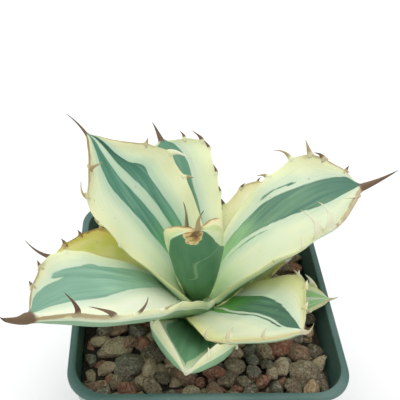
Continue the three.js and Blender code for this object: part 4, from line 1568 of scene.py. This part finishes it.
def open_leaves() -> tuple[Leaf, ...]:
    """The open leaves, the youngest first.

    Returns:
        The leaves.
    """
    return (
        Leaf(
            "leaf_back_left", azimuth=146, turn=-3.5, rise=(53, 37), length=68, width=43, widest=0.62,
            waist=0.49, cup=(0.33, 0.36), roll=(0, 0), root=(4.5, 77.7), taper=0.78,
            spine=Spine(length=8, side=0.22, lift=0.05, radius=0.48), finish=BACK_LEFT_SKIN,
            teeth=(
                Tooth(Edge.LEFT, 0.83, 4, (-0.15, -0.15, 1), (0, -0.3, 0.3)),
                Tooth(Edge.LEFT, 0.73, 4, (0.4, 0.9, 0.1), (-2.4, 0.6, 0.8)),
                Tooth(Edge.LEFT, 0.6, 2.3, (0.6, 0.7, 0.1)),
                Tooth(Edge.LEFT, 0.46, 2, (0.8, 0.3, 0.2), tone=Tone.PALE),
                Tooth(Edge.RIGHT, 0.76, 1.8, (0.8, 0.5, 0.3)),
                Tooth(Edge.RIGHT, 0.65, 6, (0.7, -0.65, 0.35), (0.4, -1.6, 0.2), Tone.PALE),
                Tooth(Edge.RIGHT, 0.5, 3, (0.8, -0.45, 0.35)),
            ),
            seed=0.4,
        ),
        Leaf(
            "leaf_right", azimuth=25.5, turn=-24, rise=(51.5, 29), length=65.5, width=41.5, widest=0.75,
            waist=0.28, cup=(0.7, 0.7), roll=(0, -3), root=(4.5, 77.3), taper=0.1,
            spine=Spine(length=12, side=-0.07, lift=0.17, radius=1.3), finish=RIGHT_SKIN,
            teeth=(
                Tooth(Edge.LEFT, 0.94, 1.4, (0.7, 0.7, 0.2), tone=Tone.BROWN),
                Tooth(Edge.LEFT, 0.87, 3.5, (0.95, -0.2, 0.3), (0, -1.5, 0), Tone.BROWN),
                Tooth(Edge.LEFT, 0.82, 5.5, (0.95, 0.2, 0.3), (0.2, -0.4, 0), Tone.TAN, 0.8),
                Tooth(Edge.LEFT, 0.73, 6.2, (0.95, -0.25, 0.25), (0.2, -2.4, 0), Tone.TAN, 0.6),
                Tooth(Edge.LEFT, 0.59, 2.8, (0.85, -0.45, 0.25), (0, -1.4, 0)),
                Tooth(Edge.RIGHT, 0.94, 3, (0.35, -0.9, 0.3), tone=Tone.PALE),
                Tooth(Edge.RIGHT, 0.745, 10.5, (0.2, 0.62, 0.8), (0, -6.3, 0.6), Tone.PALE, 1.5),
                Tooth(Edge.RIGHT, 0.69, 8, (0.2, 0.36, 0.95), (0, -4.6, 1.8), Tone.PALE, 1.6),
                Tooth(Edge.RIGHT, 0.58, 2.4, (0.3, 0.35, 0.9), tone=Tone.PALE),
            ),
            seed=1.3,
        ),
        Leaf(
            "leaf_front_left", azimuth=217, turn=5.5, rise=(41.5, 25.5), length=76.5, width=41.5,
            widest=0.67, waist=0.33, cup=(0.9, 0.55), roll=(9, 0), root=(5, 75.6), taper=0.22,
            spine=Spine(length=12, side=0.18, lift=0.41, radius=1.6, wave=0.7), finish=FRONT_LEFT_SKIN,
            teeth=(
                Tooth(Edge.LEFT, 0.89, 5.9, (0.25, 0.35, 0.9), (0, 0.6, 0), Tone.DARK, 0.8),
                Tooth(Edge.LEFT, 0.8, 6, (-0.2, 0.75, 0.65), (0.2, 0.4, -0.3), Tone.BROWN, 0.8),
                Tooth(Edge.LEFT, 0.73, 5.3, (0.85, -0.3, 0.45), (-0.8, -0.2, 0.6), Tone.BROWN, 0.8),
                Tooth(Edge.LEFT, 0.59, 3, (0.95, -0.35, 0.1)),
                Tooth(Edge.RIGHT, 0.9, 1.5, (0.8, 0.4, 0.3), tone=Tone.BROWN),
                Tooth(Edge.RIGHT, 0.82, 1.8, (0.8, 0.4, 0.4), tone=Tone.BROWN),
                Tooth(Edge.RIGHT, 0.64, 2.5, (0.9, 0.2, 0.3)),
            ),
            heel=9.5, dip=0.0, seed=2.2,
        ),
        Leaf(
            "leaf_back", azimuth=102, turn=17.5, rise=(48, 37), length=57.3, width=31, widest=0.85,
            waist=0.56, cup=(0.5, 0.5), roll=(0, 0), root=(5, 75.2), taper=0.31,
            spine=Spine(length=6.5, side=0.15, lift=0.16, radius=1), finish=BACK_SKIN,
            teeth=(
                Tooth(Edge.RIGHT, 0.94, 2.2, (0.05, 0.95, 0.3), tone=Tone.BROWN),
                Tooth(Edge.RIGHT, 0.89, 4, (-0.2, 0.9, 0.3), tone=Tone.BROWN),
                Tooth(Edge.RIGHT, 0.83, 2.7, (0.05, 0.95, 0.3), tone=Tone.BROWN),
                Tooth(Edge.RIGHT, 0.67, 2.5, (0.25, 0.95, 0.25), tone=Tone.BROWN),
                Tooth(Edge.RIGHT, 0.55, 1.8, (0.4, 0.9, 0.2), tone=Tone.BROWN),
                Tooth(Edge.LEFT, 0.9, 3, (0.8, 0.4, 0.3)),
                Tooth(Edge.LEFT, 0.76, 3.5, (0.9, 0.2, 0.3)),
                Tooth(Edge.LEFT, 0.62, 2.5, (0.9, 0.2, 0.3)),
            ),
            seed=3.1,
        ),
        Leaf(
            "leaf_front_right", azimuth=300, turn=15, rise=(42, 27.5), length=47, width=41.5, widest=0.61,
            waist=0.58, cup=(0.47, 0.47), roll=(-2.5, 2.5), root=(5, 74.3), taper=0.12,
            spine=Spine(length=5.5, side=0.18, lift=1, radius=0.8, tone=Tone.STRAW), finish=FRONT_RIGHT_SKIN,
            teeth=(
                Tooth(Edge.RIGHT, 0.86, 2.2, (0.3, 0.1, 0.9), (-0.5, 0.6, 0), Tone.STRAW),
                Tooth(Edge.RIGHT, 0.72, 3, (0.2, 0, 0.9), (-1, 0.9, -0.2), Tone.STRAW),
                Tooth(Edge.RIGHT, 0.58, 3, (0.2, 0, 0.9), (-1, 0.9, -0.2), Tone.STRAW),
                Tooth(Edge.LEFT, 0.9, 1.5, (0.9, 0.3, 0.3), tone=Tone.PALE),
                Tooth(Edge.LEFT, 0.77, 2, (1, 0, 0.3), tone=Tone.PALE),
                Tooth(Edge.LEFT, 0.62, 2, (1, 0, 0.3), tone=Tone.PALE),
            ),
            wrap=0.75, seed=4.4,
        ),
        Leaf(
            "leaf_left", azimuth=172, turn=-1.5, rise=(19.5, 10.5), length=52, width=32, widest=0.71,
            waist=0.55, cup=(0.5, 0.5), roll=(0, 0), root=(5, 74), taper=0.34,
            spine=Spine(length=10, side=-0.15, lift=0.36, radius=0.8), finish=LEFT_SKIN, slot="low_leaf",
            teeth=(
                Tooth(Edge.RIGHT, 0.92, 2, (0.7, 0.65, 0.3), tone=Tone.BROWN),
                Tooth(Edge.RIGHT, 0.84, 1.6, (0.75, 0.6, 0.3), tone=Tone.BROWN),
                Tooth(Edge.RIGHT, 0.72, 2.5, (0.9, 0.2, 0.3)),
                Tooth(Edge.RIGHT, 0.6, 2, (1, 0, 0.3)),
                Tooth(Edge.LEFT, 0.85, 2, (0.8, 0.4, 0.3)),
                Tooth(Edge.LEFT, 0.71, 2.5, (1, 0, 0.3)),
            ),
            seed=5.2,
        ),
        Leaf(
            "leaf_back_right", azimuth=46.5, turn=-3.5, rise=(30.5, 19), length=55, width=34, widest=0.71,
            waist=0.55, cup=(0.6, 0.6), roll=(0, 0), root=(5, 73.4), taper=0.25,
            spine=Spine(length=6, side=0, lift=0.25, radius=1), finish=BACK_RIGHT_SKIN, slot="low_leaf",
            teeth=(
                Tooth(Edge.LEFT, 0.53, 4, (0.9, 0.4, 0.2), (0.2, -1.8, 0), Tone.DARK),
                Tooth(Edge.LEFT, 0.7, 1.8, (0.3, 0.8, 0.5), tone=Tone.BROWN),
                Tooth(Edge.LEFT, 0.82, 1.5, (0.5, 0.7, 0.5), tone=Tone.BROWN),
                Tooth(Edge.RIGHT, 0.84, 2.2, (0.9, 0.3, 0.3)),
                Tooth(Edge.RIGHT, 0.72, 3, (1, 0, 0.3)),
                Tooth(Edge.RIGHT, 0.6, 2.4, (1, 0, 0.3)),
            ),
            seed=6.3,
        ),
        Leaf(
            "leaf_front", azimuth=258, turn=0, rise=(23.5, 26.5), length=41, width=40.5, widest=0.81,
            waist=0.6, cup=(1.8, 1.5), roll=(-1, -6), root=(5, 72.7), taper=0.31,
            spine=Spine(length=2.5, side=0, lift=0.6, radius=0.8, tone=Tone.PALE), finish=FRONT_SKIN,
            teeth=(
                Tooth(Edge.RIGHT, 0.6, 2.4, (0.9, -0.2, 0.4), tone=Tone.PALE),
                Tooth(Edge.RIGHT, 0.7, 2.4, (0.9, -0.2, 0.4), tone=Tone.PALE),
                Tooth(Edge.RIGHT, 0.84, 3.5, (0.6, -0.3, 0.8), tone=Tone.PALE),
                Tooth(Edge.LEFT, 0.76, 1.8, (0.9, 0.2, 0.1), tone=Tone.PALE),
                Tooth(Edge.LEFT, 0.94, 2, (0.9, 0.3, 0.1), tone=Tone.PALE),
            ),
            wrap=1.5, thickness=4.5, neck=0.45, seed=7.4,
        ),
        Leaf(
            "leaf_low_back_left", azimuth=126, turn=0, rise=(17, 13), length=39, width=22, widest=0.62,
            waist=0.6, cup=(0.5, 0.5), roll=(0, 0), root=(5, 72.2), taper=0.3,
            spine=Spine(length=4, side=0, lift=0.3, radius=0.8), finish=LOW_BACK_LEFT_SKIN, slot="low_leaf",
            teeth=(
                Tooth(Edge.LEFT, 0.8, 2, (1, 0.2, 0.3)),
                Tooth(Edge.LEFT, 0.62, 2.2, (1, 0, 0.3)),
                Tooth(Edge.RIGHT, 0.8, 2, (1, 0.2, 0.3)),
                Tooth(Edge.RIGHT, 0.62, 2.2, (1, 0, 0.3)),
            ),
            seed=8.1,
        ),
        Leaf(
            "leaf_low_right", azimuth=349, turn=5.5, rise=(18, 14.5), length=41.5, width=19, widest=0.62,
            waist=0.6, cup=(0.55, 0.55), roll=(0, 0), root=(5, 71.7), taper=0.19,
            spine=Spine(length=2.5, side=0.06, lift=0.3, radius=0.5, tone=Tone.STRAW), finish=LOW_RIGHT_SKIN,
            slot="low_leaf",
            teeth=(
                Tooth(Edge.LEFT, 0.86, 4.3, (0.9, -0.35, 0.25), (0.2, -0.6, 0.2), Tone.PALE),
                Tooth(Edge.LEFT, 0.76, 3.8, (0.9, -0.35, 0.25), (0.2, -0.6, 0.2), Tone.PALE),
                Tooth(Edge.RIGHT, 0.8, 1.6, (1, 0.2, 0.3), tone=Tone.PALE),
                Tooth(Edge.RIGHT, 0.64, 1.6, (1, 0, 0.3), tone=Tone.PALE),
            ),
            seed=9.2,
        ),
        Leaf(
            "leaf_low_back", azimuth=73, turn=0, rise=(14, 12), length=37, width=20, widest=0.6, waist=0.6,
            cup=(0.5, 0.5), roll=(0, 0), root=(5, 71.3), taper=0.3,
            spine=Spine(length=3.5, side=0, lift=0.3, radius=0.7), finish=LOW_BACK_SKIN, slot="low_leaf",
            teeth=(
                Tooth(Edge.LEFT, 0.78, 2, (1, 0.2, 0.3)),
                Tooth(Edge.LEFT, 0.6, 2, (1, 0, 0.3)),
                Tooth(Edge.RIGHT, 0.78, 2, (1, 0.2, 0.3)),
                Tooth(Edge.RIGHT, 0.6, 2, (1, 0, 0.3)),
            ),
            seed=10.6,
        ),
        Leaf(
            "leaf_low_small", azimuth=30, turn=-12.5, rise=(22, 9.5), length=32, width=14, widest=0.48,
            waist=0.6, cup=(0.6, 0.6), roll=(0, 0), root=(5, 71.5), taper=0.5,
            spine=Spine(length=3.5, side=0.1, lift=0.5, radius=0.8, tone=Tone.PALE), finish=LOW_SMALL_SKIN,
            slot="low_leaf",
            teeth=(Tooth(Edge.LEFT, 0.7, 1.6, (1, 0.2, 0.3)), Tooth(Edge.RIGHT, 0.7, 1.8, (1, 0.2, 0.5))),
            seed=11.5,
        ),
    )


# ---------- pot ----------


@dataclass
class Pot:
    """The square nursery pot: tapered walls, a rim, and a floor with drain holes and channels."""

    height: float = 80.0
    rim_side: float = 90.0
    rim_width: float = 2.5
    rim_depth: float = 2.0
    wall: float = 1.4
    foot_side: float = 66.0
    foot_corner: float = 8.0
    foot_bevel: float = 1.0
    floor: float = 2.5
    drain_radius: float = 3.5
    side_drain_reach: float = 22.4
    corner_drain_reach: float = 29.0
    channel_width: float = 5.0
    channel_depth: float = 1.2
    channel_overrun: float = 6.0
    corner_steps: int = 12
    # the rim's round edges: how far each point stands in from the width and off the underside or the top
    under_edge: Line = ((0.7, 0.0), (0.0, 0.6))
    outer_edge: Line = ((0.0, 0.75), (0.35, 0.25), (1.2, 0.0))
    inner_edge: Line = ((1.0, 0.0), (0.25, 0.2), (0.0, 0.7))
    painted_light: tuple[float, float] = (0.12, 1.0)  # painted light from the bright surroundings: its share on the walls, and right under the rim
    finish: PlasticFinish = PlasticFinish()

    def wall_side(self, z: float) -> float:
        """Outside width of the tapered wall at height z."""
        widest = self.rim_side - 2 * self.rim_width + 2 * self.wall
        return self.foot_side + (widest - self.foot_side) * z / (self.height - self.rim_depth)

    def profile(self) -> list[tuple[float, float]]:
        """Widths and heights from the foot up the outside, over the rim and down the inside to the floor.

        Returns:
            Pairs of a width and a height.
        """
        low = self.height - self.rim_depth
        inner = self.rim_side - 2 * self.rim_width
        return [
            (self.foot_side - 2 * self.foot_bevel, 0.0),
            (self.wall_side(self.foot_bevel), self.foot_bevel),
            (self.wall_side(low / 2), low / 2),
            (self.wall_side(low), low),
            *((self.rim_side - off, low + up) for off, up in self.under_edge),
            *((self.rim_side - off, self.height - down) for off, down in self.outer_edge),
            *((inner + off, self.height - down) for off, down in self.inner_edge),
            (inner, low),
            (self.wall_side(low / 2) - 2 * self.wall, low / 2),
            (self.wall_side(self.floor) - 2 * self.wall, self.floor),
        ]

    def shell(self) -> bpy.types.Object:
        """The pot before its drain holes, drawn up from its underside ring by ring.

        Returns:
            The closed shell.
        """
        rings = self.profile()
        piece = rounded_plate("pot_shell", rings[0][0] * MM, self.foot_corner * MM, self.corner_steps)
        bpy.ops.object.mode_set(mode="EDIT")
        bpy.ops.mesh.select_all(action="SELECT")
        for (side, z), (wider, higher) in zip(rings, rings[1:]):
            raise_face((higher - z) * MM, wider / side)
        bpy.ops.object.mode_set(mode="OBJECT")
        close_up(piece)
        return piece

    def painted_light_of(self, piece: bpy.types.Object) -> np.ndarray:
        """How strong the painted light is at each vertex: none inside and most of it right under the rim.

        Args:
            piece: The pot with its holes cut.

        Returns:
            A number from 0 to 1 for each vertex.
        """
        points = read_points(piece) / MM
        facing = np.array([vertex.normal[:2] for vertex in piece.data.vertices])
        low = self.height - self.rim_depth
        outer = ((facing * points[:, :2]).sum(1) > 0) & (points[:, 2] < low + 0.1)
        on_wall = np.abs(points[:, :2]).max(1) < self.rim_side / 2 - 0.9
        painted_light = np.where(points[:, 2] > low - 1, self.painted_light[1], self.painted_light[0])
        return np.where(outer & on_wall, painted_light, 0.0)

    def build(self) -> None:
        """Builds the pot, cuts its drain holes and channels and dresses it."""
        piece = self.shell()
        for eighth in range(8):
            angle = eighth * math.pi / 4
            reach = self.corner_drain_reach if eighth % 2 else self.side_drain_reach
            heading = Vector((math.cos(angle), math.sin(angle), 0.0))
            deselect_all()
            bpy.ops.mesh.primitive_cylinder_add(
                vertices=32,
                radius=self.drain_radius * MM,
                depth=4 * self.floor * MM,
                location=heading * reach * MM,
            )
            cut(piece, bpy.context.active_object)
            if eighth % 2 == 0:
                end = self.foot_side / 2 + self.channel_overrun
                deselect_all()
                bpy.ops.mesh.primitive_cube_add(
                    size=1.0,
                    location=heading * (end + reach) / 2 * MM,
                    rotation=(0.0, 0.0, angle),
                    scale=((end - reach) * MM, self.channel_width * MM, 2 * self.channel_depth * MM),
                )
                cut(piece, bpy.context.active_object)
        close_up(piece, smooth_angle=35)
        write_attribute(piece, PAINTED_WALL_LIGHT, self.painted_light_of(piece))
        piece.data.materials.clear()
        piece.data.materials.append(self.finish.material("pot_plastic"))
        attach(piece, BODY)
        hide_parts("pot")
        LOG.info("pot: %d faces", len(piece.data.polygons))


def rounded_plate(name: str, side: float, corner: float, steps: int) -> bpy.types.Object:
    """A flat square face with round corners at the origin, in metres.

    Args:
        name: Name of the new piece.
        side: Width across the flats.
        corner: Radius of the corners.
        steps: Edges round each corner.

    Returns:
        The piece, active and selected.
    """
    deselect_all()
    bpy.ops.mesh.primitive_plane_add(size=side)
    piece = bpy.context.active_object
    piece.name = piece.data.name = name
    bpy.ops.object.mode_set(mode="EDIT")
    bpy.ops.mesh.select_all(action="SELECT")
    bpy.ops.mesh.bevel(offset=corner, offset_type="OFFSET", segments=steps, affect="VERTICES")
    bpy.ops.object.mode_set(mode="OBJECT")
    return piece


def raise_face(rise: float, spread: float) -> None:
    """Extrudes the selected face straight up by rise metres and spreads it round its middle."""
    bpy.ops.mesh.extrude_region_move(TRANSFORM_OT_translate={"value": (0.0, 0.0, rise)})
    bpy.ops.transform.resize(value=(spread, spread, 1.0))


def cut(piece: bpy.types.Object, tool: bpy.types.Object) -> None:
    """Cuts the tool's space out of a piece and takes the tool away.

    Args:
        piece: The piece to cut.
        tool: The piece whose space is cut out.
    """
    choose(piece)
    modifier = piece.modifiers.new("cut", "BOOLEAN")
    modifier.operation = "DIFFERENCE"
    modifier.solver = "EXACT"
    modifier.object = tool
    bpy.ops.object.modifier_apply(modifier=modifier.name)
    bpy.data.objects.remove(tool)


# ---------- grit and stem ----------


@dataclass(frozen=True)
class Course:
    """One layer of pebbles: its height, their least and largest radius, and how near they may lie."""

    height: float
    radii: tuple[float, float]
    spacing: float
    on_top: bool


@dataclass(frozen=True)
class Pebble:
    """The middle of one pebble, its radius, and whether it lies on top."""

    x: float
    y: float
    z: float
    radius: float
    on_top: bool


@dataclass
class Grit:
    """Lava grit: a bed that fills the pot and loose angular pebbles over it.

    The pebbles are turned and sized copies of a few models. Each model is a ball with flats broken off at
    flat_reach of its radius, then stretched to between least_shape and largest_shape.
    """

    pot: Pot
    level: float = 69.6
    clearance: float = 0.3
    models: int = 14
    courses: tuple[Course, ...] = (
        Course(height=69.0, radii=(2.4, 3.2), spacing=0.74, on_top=False),
        Course(height=71.0, radii=(2.4, 4.8), spacing=0.78, on_top=True),
    )
    tries: int = 5000
    size_power: float = 1.8  # above 1, small pebbles are the more common ones
    large_radius: float = 3.0
    large_sink: float = 0.6
    jitter: float = 0.4
    crowding: float = 1.3
    stem_radius: float = 8.0
    leaf_room: float = 0.8  # a pebble under a leaf keeps this share of its radius below it
    deepest: float = 1.5  # one that would lie lower than this under the bed's top is left out
    full_turn: float = 6.28
    flats: int = 11
    flat_reach: tuple[float, float] = (0.52, 0.8)
    flat_share: float = 0.93
    roughness: float = 0.08
    least_shape: tuple[float, float, float] = (0.95, 0.75, 0.6)
    largest_shape: tuple[float, float, float] = (1.3, 1.0, 0.85)
    lying: tuple[float, float, float] = (1.0, 1.0, 0.85)
    seed: int = 21
    finish: StoneFinish = StoneFinish()
    bed_shade: float = 0.1
    # the bed is painted mostly dark: painted shade in the gaps between the pebbles
    bed_finish: StoneFinish = StoneFinish(dust=0.1, dark=0.8)

    def bed(self, groups: Groups) -> None:
        """The bed under the loose pebbles, painted dark as painted shade between them.

        Args:
            groups: The shared node groups.
        """
        low = self.pot.floor + self.clearance
        side = self.pot.wall_side(low) - 2 * self.pot.wall - 2 * self.clearance
        upper = self.pot.wall_side(self.level) - 2 * self.pot.wall - 2 * self.clearance
        piece = rounded_plate("grit_bed", side * MM, (self.pot.foot_corner - self.pot.wall) * MM, 8)
        bpy.ops.object.mode_set(mode="EDIT")
        bpy.ops.mesh.select_all(action="SELECT")
        bpy.ops.transform.translate(value=(0.0, 0.0, low * MM))
        raise_face((self.level - low) * MM, upper / side)
        for inset in (0.9, 0.6, 0.3):
            raise_face(0.0, inset)
        bpy.ops.object.mode_set(mode="OBJECT")
        close_up(piece, smooth_angle=30)
        write_attribute(piece, SHADE, np.full(len(piece.data.vertices), self.bed_shade))
        piece.data.materials.append(self.bed_finish.material("grit_bed", groups))
        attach(piece, BODY)
        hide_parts("substrate")

    def model(self, k: int, random: np.random.Generator) -> tuple[bpy.types.Object, np.ndarray]:
        """One angular pebble of about unit radius: a ball with flats broken off it, coarse when k is odd.

        Args:
            k: Number of the model.
            random: The source of random numbers.

        Returns:
            The model and its points.
        """
        deselect_all()
        bpy.ops.mesh.primitive_ico_sphere_add(subdivisions=2 if k % 2 else 3, radius=1.0)
        piece = bpy.context.active_object
        piece.name = piece.data.name = f"pebble_{k}"
        points = read_points(piece)
        for _ in range(self.flats):
            heading = random.normal(size=3)
            heading /= np.linalg.norm(heading)
            limit = random.uniform(*self.flat_reach)
            over = np.maximum(points @ heading - limit, 0)
            points = points - over[:, None] * heading * self.flat_share
        rough = ripple(points[:, 0] * 4 + k, points[:, 1] * 4 + points[:, 2] * 3, k)
        shape = random.uniform(self.least_shape, self.largest_shape)
        return piece, points * (1 + self.roughness * rough)[:, None] * shape

    def places(self, random: np.random.Generator) -> list[Pebble]:
        """Where the pebbles lie: a close lower course and a looser upper one.

        Args:
            random: The source of random numbers.

        Returns:
            The pebbles, the lower course first.
        """
        found: list[Pebble] = []
        half = (self.pot.wall_side(self.level) - 2 * self.pot.wall) / 2
        corner = self.pot.foot_corner
        for course in self.courses:
            kept: list[Pebble] = []
            least, largest = course.radii
            for _ in range(self.tries):
                x, y = random.uniform(-half, half, 2)
                radius = least + (largest - least) * random.uniform() ** self.size_power
                dx, dy = abs(x) - (half - corner), abs(y) - (half - corner)
                inside = math.hypot(max(dx, 0), max(dy, 0)) + min(max(dx, dy), 0) <= corner - radius
                clear = all(
                    math.hypot(x - other.x, y - other.y) > (radius + other.radius) * course.spacing
                    for other in kept
                )
                if inside and clear and math.hypot(x, y) > self.stem_radius:
                    sink = max(radius - self.large_radius, 0) * self.large_sink
                    z = course.height + random.uniform(-self.jitter, self.jitter) - sink
                    kept.append(Pebble(x, y, z, radius, course.on_top))
            found += kept
        return found

    def build(self, groups: Groups, ceiling: np.ndarray) -> None:
        """Builds the bed and the pebbles and dresses them.

        Args:
            groups: The shared node groups.
            ceiling: Points of the leaves' lower faces, in millimetres, which pebbles stay under.
        """
        self.bed(groups)
        random = np.random.default_rng(self.seed)
        models = [self.model(k, random) for k in range(self.models)]
        copies = []
        for k, pebble in enumerate(self.places(random)):
            z = pebble.z
            near = ceiling[np.hypot(ceiling[:, 0] - pebble.x, ceiling[:, 1] - pebble.y) < pebble.radius]
            if len(near):
                z = min(z, near[:, 2].min() - pebble.radius * self.leaf_room)
            if z < self.level - self.deepest:
                continue
            model, points = models[2 * (k % (self.models // 2)) + (0 if pebble.on_top else 1)]
            angle = random.uniform(0, self.full_turn)
            turn = np.array(Matrix.Rotation(angle, 3, Vector(random.normal(size=3)).normalized()))
            size = pebble.radius * self.crowding
            piece = own_copy(model, f"stone_{k}")
            write_points(piece, ((points @ turn.T) * size * self.lying + (pebble.x, pebble.y, z)) * MM)
            write_attribute(piece, SHADE, np.full(len(points), random.uniform()))
            copies.append(piece)
        stones = join(copies)
        stones.name = stones.data.name = "grit_pebbles"
        for model, _ in models:
            bpy.data.objects.remove(model)
        close_up(stones, smooth_angle=38)
        stones.data.materials.append(self.finish.material("grit_stone", groups))
        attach(stones, BODY)
        LOG.info("grit: %d pebbles, %d faces", len(copies), len(stones.data.polygons))


@dataclass
class Stem:
    """The short stem in its hole in the grit, with the scars of old leaves round it."""

    radius: float = 5.0
    tip_radius: float = 2.4
    bottom: float = 56.0
    shoulder: float = 71.0
    top: float = 76.6
    scar_depth: float = 0.25
    scar_rate: float = 3.5
    finish: StemFinish = StemFinish()

    def build(self) -> None:
        """Builds the stem and dresses it."""
        piece, around, along = rolled_grid("stem_core", 40, 44)
        line = np.clip((along - 0.05) / 0.9, 0, 1)
        z = self.bottom + (self.top - self.bottom) * line
        narrow = smooth(self.shoulder, self.top, z)
        scars = self.scar_depth * (0.5 + 0.5 * np.sin(z * self.scar_rate))
        radius = self.radius + (self.tip_radius - self.radius) * narrow - scars
        radius = radius * np.where((along <= 0.001) | (along >= 0.999), 0, 1)
        turn = 2 * np.pi * around
        write_points(piece, np.stack([radius * np.cos(turn), radius * np.sin(turn), z], -1) * MM)
        close_up(piece)
        piece.data.materials.append(self.finish.material("stem_tissue"))
        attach(piece, BODY)
        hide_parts("stem")
        LOG.info("stem: %d faces", len(piece.data.polygons))


# ---------- studio ----------


@dataclass
class Studio:
    """Camera at the viewer's angle, soft light and a plain pale floor.

    The camera was solved from the rim's sides and corners. Its angles are in degrees, its lens and sensor in
    millimetres, and the softbox is a round light aimed at the leaves, with its power in watts.
    """

    place: tuple[float, float, float] = (-26.39, -157.43, 255.53)
    pitch: float = 40.18
    yaw: float = 7.75
    roll: float = 6.40
    lens: float = 59.47
    sensor: float = 36.0
    surround: float = 0.8
    softbox_place: tuple[float, float, float] = (-150.0, 120.0, 1150.0)
    softbox_aim: tuple[float, float, float] = (0.0, 0.0, 80.0)
    softbox_size: float = 1200.0
    softbox_power: float = 6.5
    floor_side: float = 6000.0
    floor_drop: float = 0.2
    floor_colours: tuple[str, str] = ("#fafafa", "#fcfcfc")

    def camera(self) -> None:
        """Adds the camera."""
        pitch, yaw, roll = (math.radians(v) for v in (self.pitch, self.yaw, self.roll))
        ahead = Vector((math.sin(yaw) * math.cos(pitch), math.cos(yaw) * math.cos(pitch), -math.sin(pitch)))
        level = Vector((math.cos(yaw), -math.sin(yaw), 0.0))
        raised = level.cross(ahead)
        right = level * math.cos(roll) + raised * math.sin(roll)
        up = -level * math.sin(roll) + raised * math.cos(roll)
        data = bpy.data.cameras.new("camera")
        data.lens = self.lens
        data.sensor_width = self.sensor
        data.clip_start = 0.01
        data.clip_end = 20.0
        camera = bpy.data.objects.new("camera", data)
        turn = Matrix((right, up, -ahead)).transposed()
        camera.matrix_world = Matrix.Translation(Vector(self.place) * MM) @ turn.to_4x4()
        bpy.context.scene.collection.objects.link(camera)
        bpy.context.scene.camera = camera

    def lights(self) -> None:
        """Adds a bright even surround and one large soft light from above and behind on the left."""
        world = bpy.data.worlds.new("studio")
        world.use_nodes = True
        surround = world.node_tree.nodes["Background"]
        surround.inputs["Color"].default_value = (1.0, 1.0, 1.0, 1.0)
        surround.inputs["Strength"].default_value = self.surround
        bpy.context.scene.world = world
        data = bpy.data.lights.new("softbox", "AREA")
        data.shape = "DISK"
        data.size = self.softbox_size * MM
        data.energy = self.softbox_power
        light = bpy.data.objects.new("softbox", data)
        light.location = Vector(self.softbox_place) * MM
        towards = Vector(self.softbox_aim) * MM - light.location
        light.rotation_euler = towards.to_track_quat("-Z", "Y").to_euler()
        bpy.context.scene.collection.objects.link(light)

    def floor(self) -> None:
        """Adds the floor."""
        deselect_all()
        bpy.ops.mesh.primitive_plane_add(
            size=self.floor_side * MM, location=(0.0, 0.0, -self.floor_drop * MM)
        )
        floor = bpy.context.active_object
        floor.name = "floor"
        made, g, shader = new_material("pale_floor", Roughness=0.9, Specular_IOR_Level=0.1)
        even = g.noise(g.object_place(), 4.0)
        g.feed(shader.inputs["Base Color"], g.blend(even, *(paint(code) for code in self.floor_colours)))
        floor.data.materials.append(made)

    def build(self) -> None:
        """Builds the studio."""
        self.camera()
        self.lights()
        self.floor()
        view = bpy.context.scene.view_settings
        view.view_transform = "Standard"
        view.look = "None"
        view.exposure = 0.0
        LOG.info("studio: camera, light and floor")


def main() -> None:
    """Builds the studio and every piece in order."""
    logging.basicConfig(level=logging.INFO, format="%(name)s: %(message)s")
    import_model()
    Studio().build()
    groups = Groups()
    pot = Pot()
    pot.build()
    Stem().build()
    model = rolled_grid("tooth_model", TOOTH_COLUMNS, TOOTH_ROWS)
    leaves = young_leaves() + open_leaves()
    for k, leaf in enumerate(leaves):
        younger = tuple(other for other in leaves[:k] if leaf.slot != "bud" and other.slot != "bud")
        replace(leaf, younger=younger).build(model, groups)
    bpy.data.objects.remove(model.piece)
    Grit(pot).build(groups, np.concatenate([leaf.lower_face()[0] for leaf in leaves]))


if __name__ == "__main__":
    main()
